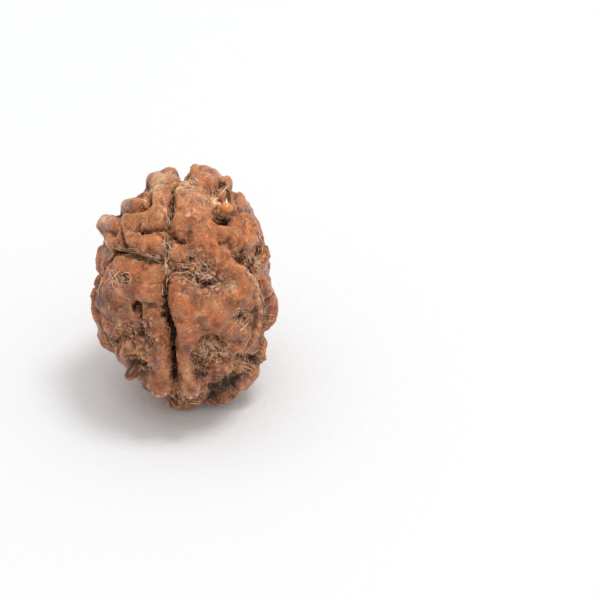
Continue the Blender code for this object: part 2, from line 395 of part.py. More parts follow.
class Wood:
    """How deep in the wood each step of each ray lies: below nought is inside."""

    def __init__(self, rays):
        self.rays = rays
        self.steps = np.arange(INNER_REACH, OUTER_REACH, STEP)
        along = (rays @ AXIS)[:, None] * self.steps
        beside = np.sqrt(np.maximum(self.steps ** 2 - along ** 2, 0.0))
        level = np.hypot(beside / HALF_WIDTH, along / HALF_LENGTH)
        steepness = np.hypot(beside / HALF_WIDTH ** 2, along / HALF_LENGTH ** 2) / level
        self.depth = ((level - 1) / steepness - PADDING).astype(np.float32)

    def rays_near(self, centre, reach):
        forward = self.rays @ centre
        side = centre @ centre - forward ** 2
        return np.nonzero((side < reach ** 2) & (forward > 0))[0]

    def steps_near(self, centre, reach):
        distance = float(np.linalg.norm(centre))
        first = max(int((distance - reach - INNER_REACH) / STEP), 0)
        last = min(int((distance + reach - INNER_REACH) / STEP) + 2, len(self.steps))
        return slice(first, last)

    def raise_chain(self, balls, blend):
        """Add a row of balls joined by tapering links. Each ball is a middle and a radius."""
        centres = np.array([ball[0] for ball in balls])
        radii = np.array([ball[1] for ball in balls])
        middle = (centres.min(axis=0) + centres.max(axis=0)) / 2
        spread = np.linalg.norm(centres - middle, axis=1).max()
        reach = float(spread + radii.max() + 2 * blend)
        chosen = self.rays_near(middle, reach)
        run = self.steps_near(middle, reach)
        points = self.rays[chosen][:, None, :] * self.steps[run][None, :, None]
        gap = np.full(points.shape[:2], OUTER_REACH)
        for end in range(1 if len(balls) > 1 else 0, len(balls)):
            start = max(end - 1, 0)
            share, distance = near_link(points, centres[start], centres[end])
            radius = radii[start] + (radii[end] - radii[start]) * share
            gap = np.minimum(gap, distance - radius)
        self.depth[chosen, run] = soft_least(self.depth[chosen, run], gap, blend)

    def sink_chain(self, marks, blend):
        """Cut a groove or a hole with walls that follow the rays.

        Each mark is a point of the surface, a half width and how deep the floor lies below the point.
        """
        for end in range(1 if len(marks) > 1 else 0, len(marks)):
            start_point, start_half, start_floor = marks[max(end - 1, 0)]
            end_point, end_half, end_floor = marks[end]
            middle = (start_point + end_point) / 2
            spread = float(np.linalg.norm(end_point - start_point)) / 2
            chosen = self.rays_near(middle, spread + 2 * max(start_half, end_half) + 3 * blend)
            level = float(np.linalg.norm(middle))
            share, distance = near_link(self.rays[chosen] * level, start_point, end_point)
            half = start_half + (end_half - start_half) * share
            floor = start_floor + (end_floor - start_floor) * share
            above = self.steps - (level - floor)[:, None]
            width = half[:, None] * (PIT_FOOT_WIDTH + PIT_FLARE * np.clip(above, 0, PIT_FLARE_END))
            cut = soft_most(distance[:, None] - width, -above, blend)
            self.depth[chosen] = soft_most(self.depth[chosen], -cut, blend)

    def fill(self, level, blend):
        """Fill each ray with wood up to this level."""
        self.depth = soft_least(self.depth, self.steps - level[:, None], blend)

    def reach(self):
        """How far out the wood goes on each ray."""
        inside = self.depth < 0
        last = len(self.steps) - 1 - np.argmax(inside[:, ::-1], axis=1)
        last = np.minimum(last, len(self.steps) - 2)
        rows = np.arange(len(self.rays))
        inner = self.depth[rows, last]
        outer = self.depth[rows, last + 1]
        share = np.clip(inner / (inner - outer), 0.0, 1.0)
        return self.steps[last] + STEP * share


class Net:
    """The edges of a mesh, to even out what is known at each of its points."""

    def __init__(self, mesh):
        ends = np.empty(len(mesh.edges) * 2, np.int32)
        mesh.edges.foreach_get("vertices", ends)
        self.first, self.second = ends.reshape(-1, 2).T.copy()
        self.size = len(mesh.vertices)
        self.count = np.bincount(ends, minlength=self.size)
        self.edge = math.sqrt(2 * STONE_AREA / math.sqrt(3) / self.size)

    def even(self, values, width):
        """The mean of the values within about this width, in millimetres."""
        for _ in range(max(round(2 * (width / self.edge) ** 2), 1)):
            total = np.bincount(self.first, values[self.second], self.size)
            total += np.bincount(self.second, values[self.first], self.size)
            values = total / self.count
        return values


def ramp(values, start, end):
    """Nought before start, one after end, and a smooth rise between."""
    share = np.clip((values - start) / (end - start), 0.0, 1.0)
    return share * share * (3 - 2 * share)


def fill_gaps(wood, net):
    level = net.even(wood.reach(), FILL_WIDTH) - FILL_DROP
    hidden = 1 - ramp(wood.rays @ OUT, *FILL_EDGE)
    wood.fill(level - FILL_FADE * hidden, FILL_BLEND)


def face_ball(mark):
    across, up, radius, rise = mark
    return on_face(across, up, rise - radius), radius


def ring_ball(mark):
    turn, height, radius, rise = mark
    return on_ring(turn, height, rise - radius), radius


def raise_front(wood):
    for forms, blend in ((RIDGES, RIDGE_BLEND), (KNOBS, KNOB_BLEND)):
        for marks in forms.values():
            wood.raise_chain([face_ball(mark) for mark in marks], blend)


def raise_crown_backs(wood):
    for marks in CROWN_BACKS.values():
        wood.raise_chain([ring_ball(mark) for mark in marks], RIDGE_BLEND)


def raise_banks(wood):
    rng = random.Random(BACK_SEED + 2)
    for marks in BACK_FURROWS.values():
        for side in (-1, 1):
            balls = []
            for start, end in zip(marks[1:], marks[2:-1]):
                for part in range(BANK_PARTS):
                    share = part / BANK_PARTS
                    height = start[1] + (end[1] - start[1]) * share
                    offset = BANK_OFFSET * rng.uniform(*BANK_OFFSET_SPREAD)
                    shift = math.degrees(offset / ring_radius(height, 0.0))
                    turn = start[0] + (end[0] - start[0]) * share + side * shift
                    radius = rng.uniform(*BANK_RADIUS)
                    balls.append(ring_ball((turn, height, radius, rng.uniform(*BANK_RISE))))
                    if rng.random() < BANK_BREAK:
                        wood.raise_chain(balls, RIDGE_BLEND)
                        balls = []
            if balls:
                wood.raise_chain(balls, RIDGE_BLEND)


def furrow_lines():
    lines = []
    for marks in FURROWS.values():
        lines.append([(on_face(across, up, SEEN_RISE), half, floor) for across, up, half, floor in marks])
    for marks in BACK_FURROWS.values():
        lines.append([(on_ring(turn, height, SEEN_RISE), half, BACK_FURROW_FLOOR)
                      for turn, height, half in marks])
    return lines


def points_along(lines):
    """Closely spaced points along the middle of every furrow."""
    shares = np.linspace(0, 1, LINE_POINTS)[:, None]
    pairs = [pair for line in lines for pair in zip(line, line[1:])]
    return np.concatenate([start[0] + (end[0] - start[0]) * shares for start, end in pairs])


def clear_of(point, others, distance):
    return len(others) == 0 or np.linalg.norm(np.array(others) - point, axis=1).min() > distance


def places_out_of_sight(rng, tries, spacing, taken, furrow_points):
    """Places scattered where the front face doesn't show them, kept apart from each other."""
    forms = list(RIDGES.values()) + list(KNOBS.values())
    front_points = [on_face(mark[0], mark[1], 0.0) for marks in forms for mark in marks]
    places = []
    for _ in range(tries):
        direction = np.array([rng.gauss(0, 1) for _ in range(3)])
        direction /= np.linalg.norm(direction)
        along = float(direction @ AXIS)
        size = 1 / math.sqrt((1 - along ** 2) / HALF_WIDTH ** 2 + along ** 2 / HALF_LENGTH ** 2)
        point = direction * size
        if float(outward_at(point) @ OUT) > SIGHT_LIMIT:
            continue
        if not clear_of(point, furrow_points, FURROW_CLEARANCE):
            continue
        if clear_of(point, places + taken, spacing) and clear_of(point, front_points, FRONT_CLEARANCE):
            places.append(point)
    return places


def raise_lumps(wood, furrow_points):
    rng = random.Random(BACK_SEED)
    places = places_out_of_sight(rng, LUMP_TRIES, LUMP_SPACING, [], furrow_points)
    balls = []
    for place in places:
        outward = outward_at(place)
        radius = rng.uniform(*LUMP_RADIUS)
        rise = rng.uniform(*(EDGE_RISE if float(outward @ OUT) > EDGE_START else LUMP_RISE))
        balls.append((place + outward * (rise - radius), radius))
    for number, place in enumerate(places):
        distances = np.linalg.norm(np.array(places) - place, axis=1)
        distances[number] = OUTER_REACH
        nearest = int(distances.argmin())
        middle = (place + places[nearest]) / 2
        joined = distances[nearest] < LUMP_LINK and clear_of(middle, furrow_points, LINK_CLEARANCE)
        wood.raise_chain([balls[number], balls[nearest]] if joined else [balls[number]], RIDGE_BLEND)
    return places


def sink_front(wood):
    for hollows, blend in ((DISHES, DISH_BLEND), (PITS, PIT_BLEND)):
        for marks in hollows.values():
            holes = [(on_face(across, up, SEEN_RISE), half, floor + SEEN_RISE)
                     for across, up, half, floor in marks]
            wood.sink_chain(holes, blend)


def sink_pits(wood, lumps, furrow_points):
    rng = random.Random(BACK_SEED + 1)
    for place in places_out_of_sight(rng, PIT_TRIES, PIT_SPACING, lumps, furrow_points):
        outward = outward_at(place)
        sideways = np.cross(outward, [rng.gauss(0, 1) for _ in range(3)])
        far = place + sideways / np.linalg.norm(sideways) * rng.uniform(*PIT_RUN)
        marks = []
        for point in (place, far):
            half = rng.uniform(*PIT_HALF_WIDTH)
            floor = rng.uniform(*PIT_FLOOR)
            marks.append((point + outward * SEEN_RISE, half, floor + SEEN_RISE))
        wood.sink_chain(marks, PIT_BLEND)


def raise_scar(wood):
    """The broad lump at the lower end, where the stalk was."""
    middle = np.array((0.0, -SCAR_FORWARD, SCAR_RADIUS - SCAR_BOTTOM))
    wood.raise_chain([(middle, SCAR_RADIUS)], KNOB_BLEND)


def shape_wood(rays, net):
    wood = Wood(rays)
    lines = furrow_lines()
    furrow_points = points_along(lines)
    raise_front(wood)
    raise_crown_backs(wood)
    raise_banks(wood)
    lumps = raise_lumps(wood, furrow_points)
    fill_gaps(wood, net)
    sink_front(wood)
    sink_pits(wood, lumps, furrow_points)
    for line in lines:
        wood.sink_chain(line, FURROW_BLEND)
    raise_scar(wood)
    points = rays * wood.reach()[:, None]
    swell = np.array([noise.noise(Vector(point) / SWELL_LENGTH) for point in points])
    return points + rays * SWELL * swell[:, None]


def make_seed():
    bpy.ops.mesh.primitive_ico_sphere_add(subdivisions=RAY_DIVISIONS, radius=1.0)
    seed = bpy.context.object
    seed.name = "seed"
    mesh = seed.data
    mesh.name = "seed"
    rays = np.empty(len(mesh.vertices) * 3)
    mesh.vertices.foreach_get("co", rays)
    rays = rays.reshape(-1, 3)
    rays /= np.linalg.norm(rays, axis=1)[:, None]
    points = shape_wood(rays, Net(mesh)) * MM
    mesh.vertices.foreach_set("co", points.ravel())
    mesh.update()
    mesh.shade_smooth()
    seed.location = Vector(MIDDLE) * MM
    return seed


def ease_walls(seed):
    easing = seed.modifiers.new("Eased walls", "SMOOTH")
    easing.factor = 0.5
    easing.iterations = 2


def cut_facets(seed):
    facets = seed.modifiers.new("Facets", "DECIMATE")
    facets.decimate_type = "COLLAPSE"
    facets.ratio = FACET_SHARE


def cut_foot(seed):
    """Cut the scar flat, level with the floor."""
    bpy.ops.mesh.primitive_cube_add(size=CUTTER_SIZE * MM)
    cutter = bpy.context.object
    cutter.name = "foot_cutter"
    cutter.location = (0.0, 0.0, (MIDDLE[2] - FOOT_DEPTH - CUTTER_SIZE / 2) * MM)
    cutter.hide_render = True
    cutter.display_type = "WIRE"
    cut = seed.modifiers.new("Foot", "BOOLEAN")
    cut.operation = "DIFFERENCE"
    cut.object = cutter


def stain(seed):
    """Dried stone: warm orange brown, dull, with a slight shine on what stands proud."""
    brown = bpy.data.materials.new("rudraksha_stone")
    brown.use_nodes = True
    surface = brown.node_tree.nodes["Principled BSDF"]
    surface.inputs["Base Color"].default_value = (0.36, 0.155, 0.085, 1.0)
    surface.inputs["Roughness"].default_value = 0.55
    surface.inputs["Metallic"].default_value = 0.0
    seed.data.materials.append(brown)


clear_scene()
seed = make_seed()
ease_walls(seed)
cut_facets(seed)
cut_foot(seed)
stain(seed)
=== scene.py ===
import math
import random

import bpy
import numpy as np
from mathutils import Matrix, Vector, noise
from mathutils.bvhtree import BVHTree


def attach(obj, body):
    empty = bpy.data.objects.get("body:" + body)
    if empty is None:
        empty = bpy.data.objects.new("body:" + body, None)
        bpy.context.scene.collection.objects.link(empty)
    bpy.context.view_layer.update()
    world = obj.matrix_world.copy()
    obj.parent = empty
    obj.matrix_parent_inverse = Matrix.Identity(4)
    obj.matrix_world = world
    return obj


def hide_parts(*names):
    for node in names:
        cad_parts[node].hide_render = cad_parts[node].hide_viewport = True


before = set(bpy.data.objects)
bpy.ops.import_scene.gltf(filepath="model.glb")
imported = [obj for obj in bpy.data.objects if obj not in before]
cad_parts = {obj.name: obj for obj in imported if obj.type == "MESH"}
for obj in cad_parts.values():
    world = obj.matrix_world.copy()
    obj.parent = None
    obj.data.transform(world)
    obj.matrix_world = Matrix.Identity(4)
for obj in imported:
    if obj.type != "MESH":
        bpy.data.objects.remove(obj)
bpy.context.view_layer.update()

# The stone
# The hard stone of a small fruit, boiled and brushed clean of its flesh, then dried. It grew as one
# piece of wood round five seed chambers, and a furrow runs where two of them met. It stands on its scar.

MM = 0.001

# The egg that the forms of the wood are placed on, in millimetres, and the wood that covers all of it
HALF_LENGTH = 12.1
HALF_WIDTH = 8.6
PADDING = 0.3

# How far the egg leans back from upright, and the height from which the front face is seen, in degrees
LEAN_BACK = 8.0
FACE_TILT = 36.0

# The stalk scar: a broad lump, flat below
SCAR_RADIUS = 4.2
SCAR_FORWARD = 0.8
SCAR_BOTTOM = 13.1
FOOT_DEPTH = 12.5

# Where the middle of the egg stands over the foot, in millimetres
MIDDLE = (-0.073, 0.124, 12.5)

# The rays that the wood is followed along, and the steps along them, in millimetres
RAY_DIVISIONS = 8
INNER_REACH = 5.5
OUTER_REACH = 15.5
STEP = 0.1

# The stone's surface in square millimetres, from which the length of its mesh's edges is known
STONE_AREA = 1500.0

# The walls of the pits, which no ray follows well, are evened out; then the mesh is thinned
WALL_ROUNDS = 5
WALL_SHARE = 0.5
FACE_SHARE = 0.6

# How softly one form runs into the next, in millimetres
RIDGE_BLEND = 0.6
KNOB_BLEND = 0.25
DISH_BLEND = 0.5
PIT_BLEND = 0.22
FURROW_BLEND = 0.18

# Gaps between the forms of the front are filled nearly to the level of what is round them
FILL_WIDTH = 1.1
FILL_DROP = 0.3
FILL_BLEND = 0.3
FILL_EDGE = (0.3, 0.55)
FILL_FADE = 3.0

# Pits and furrows are placed where they are seen, this far above the egg
SEEN_RISE = 0.9

# The furrows at the back are cut this far below that
BACK_FURROW_FLOOR = 2.0

# A pit's or furrow's half width at its floor, and what each millimetre above adds to it up to a height,
# both as shares of its half width
PIT_FOOT_WIDTH = 0.75
PIT_FLARE = 0.35
PIT_FLARE_END = 2.5

# A gentle unevenness over the whole stone, in millimetres
SWELL = 0.16

# The stone's own directions: those of the front face as seen, and those of the axis
TILT = math.radians(FACE_TILT)
LEAN = math.radians(LEAN_BACK)
ACROSS = np.array((1.0, 0.0, 0.0))
UP = np.array((0.0, math.sin(TILT), math.cos(TILT)))
OUT = np.array((0.0, -math.cos(TILT), math.sin(TILT)))
AXIS = np.array((0.0, math.sin(LEAN), math.cos(LEAN)))
FRONT = np.array((0.0, -math.cos(LEAN), math.sin(LEAN)))

# Broad ridges that run softly into each other: across, up, radius and rise above the egg
RIDGES = {
    "band": [(-2.4, 10.7, 0.85, 1.1), (-2.5, 9.6, 0.95, 1.2), (-2.8, 8.6, 0.85, 1.2),
        (-2.8, 7.6, 0.8, 1.3), (-2.5, 6.9, 0.75, 1.3)],
    "hook fill": [(-5.1, 6.3, 0.75, 1.2), (-4.8, 5.2, 0.85, 1.25), (-3.6, 5.3, 0.75, 1.3),
        (-3.2, 6.5, 0.65, 1.15)],
    "under hook fill": [(-6.9, 3.4, 0.65, 0.9), (-5.6, 3.3, 0.65, 0.9), (-4.2, 3.1, 0.65, 1),
        (-2.8, 3, 0.65, 1)],
    "left shoulder": [(-8.4, 3.7, 0.8, 1), (-8.7, 2.9, 0.75, 1), (-8.9, 2.2, 0.6, 0.9)],
    "upper cheek": [(-7.6, 2.2, 1.15, 0.9), (-6, 2.1, 1.15, 0.9), (-4.5, 1.6, 1.05, 1),
        (-3.2, 1.5, 0.95, 1.1)],
    "middle cheek": [(-8.1, 0.4, 1.4, 1.1), (-6.4, 0, 1.4, 1.1), (-4.7, -0.3, 1.25, 1.3),
        (-3.5, -0.6, 1.1, 1.6)],
    "cheek fill": [(-5.3, 1.1, 0.95, 1), (-4, 0.5, 0.95, 1.15), (-3.1, 0.4, 0.75, 1.2)],
    "lower cheek": [(-8.5, -1.6, 1.25, 1.1), (-7.1, -1.5, 1.25, 1.2)],
    "left hip": [(-8.5, -3.2, 0.95, 1), (-7.6, -3.8, 0.95, 0.9)],
    "left rim": [(-9.1, -0.5, 0.75, 1.1), (-9, -1.6, 0.75, 1.1), (-8.9, -2.9, 0.75, 0.9)],
    "inner ridge left": [(-3.5, -2.5, 0.85, 1.2), (-3.3, -3.7, 0.8, 1.1), (-2.9, -4.8, 0.7, 1.2),
        (-2.5, -5.7, 0.7, 1.3), (-2.2, -6.8, 0.7, 1.1), (-2.3, -7.7, 0.75, 1)],
    "rough cheek": [(-5.9, -3.3, 0.85, 0.8), (-6.4, -4.3, 0.85, 0.8)],
    "lower rim": [(-8.3, -4.3, 0.75, 0.8), (-7.2, -5.1, 0.8, 0.9)],
    "outer rim": [(-8.5, -5, 0.65, 0.9), (-8.2, -5.8, 0.65, 0.9), (-7.6, -6.3, 0.55, 0.8)],
    "arch": [(-6.7, -6.9, 0.65, 0.8), (-5.7, -6.6, 0.85, 1.1), (-4.6, -6.7, 0.85, 1.1),
        (-3.6, -7.3, 0.75, 1.1), (-3.1, -8.1, 0.55, 1)],
    "under arch": [(-4.8, -8.9, 0.65, 0.6), (-4, -9.4, 0.55, 0.7)],
    "inner ridge right upper": [(-0.5, 10.4, 0.85, 1), (-0.4, 9, 0.95, 1), (-0.1, 7.7, 1.1, 1.2),
        (0, 6.8, 1.15, 1.5), (-0.3, 6, 0.85, 1.3)],
    "upper plateau": [(1, 9.4, 1.15, 1), (2.2, 8.8, 1.05, 1), (2, 7.5, 1.05, 1.1)],
    "plateau fill": [(0.3, 9.5, 0.95, 1), (0.6, 8.3, 1, 1.05), (1, 7.1, 1, 1.15)],
    "upper plateau edge": [(1.5, 6.6, 0.75, 1.2), (2.6, 6.3, 0.85, 1.3)],
    "right shoulder": [(5.7, 7.8, 0.85, 1.2), (6.6, 6.7, 1.05, 1.4), (6.7, 5.5, 1.3, 1.5),
        (6.3, 4.6, 0.95, 1.4)],
    "shoulder front": [(3.9, 5.8, 0.95, 1.3), (5.2, 5.6, 0.95, 1.4)],
    "right edge fold": [(8, 5.3, 0.55, 1.2), (8.4, 4.1, 0.6, 1.4), (8.4, 3.3, 0.65, 1.3),
        (8.1, 2.6, 0.55, 1)],
    "diagonal ridge": [(1.5, 5.8, 0.8, 1.2), (2.4, 5.1, 1, 1.3), (3.4, 3.9, 1.2, 1.4),
        (4, 2.6, 1.25, 1.5), (4.8, 1.7, 1.15, 1.3), (5.7, 1, 1.05, 1.2), (6.4, -0.2, 0.85, 1.2)],
    "belly top": [(-0.4, 0.5, 0.85, 0.9), (0.6, -0.5, 1.05, 1.1), (2.2, -1.3, 1.25, 1.3),
        (4, -1, 1.25, 1.2), (5.5, -0.6, 1.15, 1.2), (6.6, -1.6, 0.85, 1.1)],
    "belly middle": [(0, -1.9, 1.15, 1.3), (1.7, -2.3, 1.5, 1.5), (3.4, -2.5, 1.4, 1.5),
        (4.7, -2, 1.15, 1.3)],
    "belly low": [(0, -3.4, 0.9, 1.3), (1.5, -3.6, 1.05, 1.4), (3.2, -3.6, 1.05, 1.5),
        (4.9, -4.1, 1, 1.4), (6.1, -4.9, 1, 1.3), (5.8, -5.9, 0.85, 1.2)],
    "inner ridge right": [(-0.6, -1.1, 0.65, 1.1), (-0.4, -2.5, 0.75, 1.3), (0, -4, 0.85, 1.3),
        (0.2, -5.5, 0.9, 1.2), (0.1, -6.8, 0.8, 1), (0.2, -7.8, 0.75, 1.1)],
    "lump below hollow": [(3.2, -7.4, 0.65, 0.9), (4, -8.1, 1.05, 1.2), (3.5, -8.8, 0.75, 1)],
    "right granules": [(8.1, -5.1, 0.55, 0.9), (8.3, -6, 0.6, 0.9)],
    "right low band": [(6.7, -8, 0.65, 0.9), (5.7, -8.5, 0.65, 0.8)],
    "right keel": [(7, -9, 1.15, 1.2), (6.1, -9.8, 1.15, 1.2)],
}

# Knobs and thin ridges that stand clear of what is round them, in the same terms
KNOBS = {
    "left crown": [(-3.1, 11.3, 0.6, 0.9), (-2.3, 11.7, 0.7, 1), (-1.6, 11.9, 0.75, 1.1),
        (-1, 12, 0.7, 1)],
    "left crown bud": [(-3.4, 10.8, 0.4, 0.8), (-3.1, 11.2, 0.5, 0.8)],
    "olive bud": [(-3.9, 9.6, 0.4, 0.8), (-3.4, 9.2, 0.4, 0.9)],
    "long knob": [(-6, 8.7, 0.7, 1.2), (-5.1, 8.6, 0.85, 1.5), (-3.9, 8.6, 0.6, 1.2)],
    "round knob": [(-8.1, 6.6, 1.15, 1.8), (-6.9, 6.6, 0.85, 1.3)],
    "under knob": [(-7.8, 5.2, 0.7, 1.3), (-7.4, 4.6, 0.75, 1.3)],
    "hook arm": [(-4.6, 7.2, 0.8, 1.4), (-5.7, 7, 0.9, 1.6), (-5.6, 5.9, 0.85, 1.5),
        (-5.1, 4.9, 0.95, 1.6), (-4.2, 4.3, 0.95, 1.6), (-3.4, 4.5, 0.95, 1.7), (-2.7, 4.7, 0.9, 2.1)],
    "hook tip": [(-4.6, 7.2, 0.8, 1.4), (-3.8, 7.4, 0.6, 1.3)],
    "pleat": [(-3.7, 8.2, 0.3, 1.2), (-3.5, 7, 0.3, 1.2)],
    "left foot": [(-2.5, -9, 0.9, 1.5), (-2.5, -9.9, 1.42, 2.6), (-2.5, -10.2, 1.35, 2.5)],
    "left neck": [(-2.15, -7.4, 0.6, 1.2), (-2.1, -8.2, 0.7, 1.4), (-2.2, -9, 0.85, 1.8)],
    "right neck": [(0, -7.4, 0.6, 1.2), (0.1, -8.2, 0.68, 1.4), (0.3, -9, 0.82, 1.8)],
    "arch lip": [(-6, -7.5, 0.35, 1.2), (-5.2, -7.3, 0.35, 1.3), (-4.5, -7.5, 0.35, 1.3),
        (-3.7, -8, 0.35, 1.2), (-3.3, -8.4, 0.3, 1.1)],
    "dark knob": [(-5.7, -9.1, 0.65, 2), (-5, -8.8, 0.5, 1.2)],
    "under foot": [(-4.1, -10.5, 0.65, 0.9), (-3.4, -10.9, 0.65, 0.9)],
    "right crown": [(1.1, 12.1, 0.85, 1.2), (1.9, 11.8, 1.1, 1.5), (2.9, 11.5, 1.05, 1.4),
        (3.5, 11.1, 0.65, 1)],
    "pink knob": [(4.4, 11.1, 0.7, 1.1)],
    "grey knob": [(5.6, 9.5, 0.75, 1.1), (5, 9.8, 0.4, 1)],
    "olive nub": [(5.8, 8.7, 0.6, 1), (6.7, 8.7, 0.5, 0.8)],
    "strand": [(4.5, 10.4, 0.3, 1), (4, 9.8, 0.35, 1), (3.5, 8.8, 0.35, 1.1)],
    "amber socket": [(3.7, 8.7, 0.3, 1.1), (3.9, 8.1, 0.3, 1), (5.2, 8.4, 0.55, 1.2)],
    "shoulder bead": [(5.2, 4.8, 0.55, 1.5)],
    "grey bulge": [(1.2, 5, 0.75, 1.1)],
    "near lump": [(-0.8, 3.8, 0.95, 1.5), (-0.3, 3.2, 0.8, 1.2)],
    "right foot": [(0.4, -9.1, 0.8, 1.5), (0.65, -10, 1.2, 2.4), (0.65, -10.5, 1.15, 2.4)],
    "purple lump": [(1.9, -7.8, 0.65, 0.7)],
    "red lump": [(2.3, -10.2, 0.7, 0.8)],
    "right lip": [(5.8, 2.3, 0.3, 1.2), (6.9, 1.2, 0.35, 1.2), (7.4, 0.1, 0.4, 1.2),
        (7.6, -1, 0.4, 1.2), (8, -2, 0.35, 1.2), (8.1, -3.2, 0.35, 1.15), (7.8, -4.1, 0.35, 1.1),
        (7.2, -5.5, 0.35, 1.1), (6.5, -6.5, 0.35, 1.1), (5.3, -7.4, 0.35, 1.1), (4.8, -8.4, 0.35, 1.1),
        (3.9, -9.3, 0.35, 1), (2.9, -10.5, 0.35, 0.9), (1.9, -11.7, 0.35, 0.9), (0.8, -12.4, 0.3, 0.9)],
    "right knob": [(8.2, 0.6, 0.75, 1), (8.6, -0.3, 0.75, 1.1), (9.2, -1.4, 0.75, 1.2),
        (9.3, -2.3, 0.75, 1.2), (9.1, -3.3, 0.75, 1.1), (8.6, -4.1, 0.65, 1)],
    "right low bud": [(8, -6.8, 0.75, 0.9), (8.1, -7.6, 0.8, 1), (7.5, -8.4, 0.85, 1)],
    "keel foot": [(5, -11.1, 0.75, 1), (4.1, -11.6, 0.75, 1), (3.2, -12, 0.65, 0.9)],
    "bottom fringe": [(2, -11.6, 0.75, 0.9), (1.2, -12.1, 0.7, 1), (0.6, -12.3, 0.65, 1)],
    "bottom bud": [(-1.4, -12, 0.65, 0.9), (-0.6, -12.2, 0.75, 1), (0.2, -12.3, 0.7, 1)],
}

# Broad hollows: across, up, half width and floor below the egg
DISHES = {
    "centre dish": [(1.2, 2.9, 0.75, -0.3), (2, 1.8, 0.95, -0.35), (2.6, 0.6, 0.7, -0.2)],
    "centre left dish": [(0, 1.8, 0.4, -0.3), (0.7, 1, 0.55, -0.2)],
    "lower dish": [(2, -5.9, 0.55, 0), (3.1, -6, 0.75, 0), (4, -6.3, 0.65, 0)],
    "lower dish floor": [(1.7, -7.1, 0.65, 0), (2.4, -8, 0.55, 0)],
    "side dish": [(1.3, -7.8, 0.5, 0.1), (1.9, -9.1, 0.5, 0.4)],
    "left rough dish": [(-6, -4.2, 0.95, -0.2), (-6.8, -5.1, 0.85, 0)],
    "left olive dish": [(-4.6, -4.8, 0.65, -0.1), (-3.8, -5.8, 0.65, 0)],
    "hook dish": [(-7.2, 4, 0.4, 0.1), (-6, 3.8, 0.35, 0.1), (-4.7, 3.3, 0.3, -0.2),
        (-3.4, 3, 0.3, -0.3), (-2.2, 2.9, 0.25, -0.3)],
    "cheek shadow": [(-4.5, -1.8, 0.25, -0.8), (-2.9, -1.9, 0.25, -0.8)],
    "fibre dish": [(6, 3.5, 0.55, 0.1), (7.2, 2.6, 0.55, -0.2), (7.6, 2.1, 0.4, -0.2)],
    "resin dish": [(3.5, 7.3, 0.5, 0.1), (4.5, 7.1, 0.5, 0.2)],
    "right dish": [(8.4, -1.7, 0.4, 0.3), (8.6, -3.5, 0.5, 0.3)],
    "black dish": [(5.4, -9.5, 0.65, 0.9), (4.5, -10.1, 0.75, 1.2), (3.1, -11, 0.75, 1.2)],
    "foot dish": [(-1.5, -11.7, 0.65, 0.4), (0.6, -11.9, 0.65, 0.4)],
    "pole dish": [(-0.3, 11.1, 0.35, -0.3), (0.5, 10.8, 0.4, -0.4)],
    "ring dish": [(5.8, -2.9, 0.7, -0.8)],
    "arch dish": [(-5.7, -7.7, 0.4, 1.2), (-4.9, -7.8, 0.55, 1.8), (-3.9, -8.3, 0.4, 1.4)],
    "hook back dish": [(-4.3, 8.3, 0.4, 0), (-3.8, 8.7, 0.4, 0)],
    "crown gap": [(-4.2, 10.8, 0.35, 1.6), (-4.7, 10.3, 0.5, 2.4), (-5.5, 10.3, 0.55, 2.6),
        (-6.1, 10.2, 0.4, 2.4)],
    "knob gap": [(-7, 7.8, 0.25, 0.5)],
    "ear dish": [(-8.4, -5.4, 0.4, 0.1), (-7.3, -6.1, 0.4, 0.1)],
    "low dish": [(5.6, -7.6, 0.3, 0.2), (7.6, -7.6, 0.3, 0.2)],
}

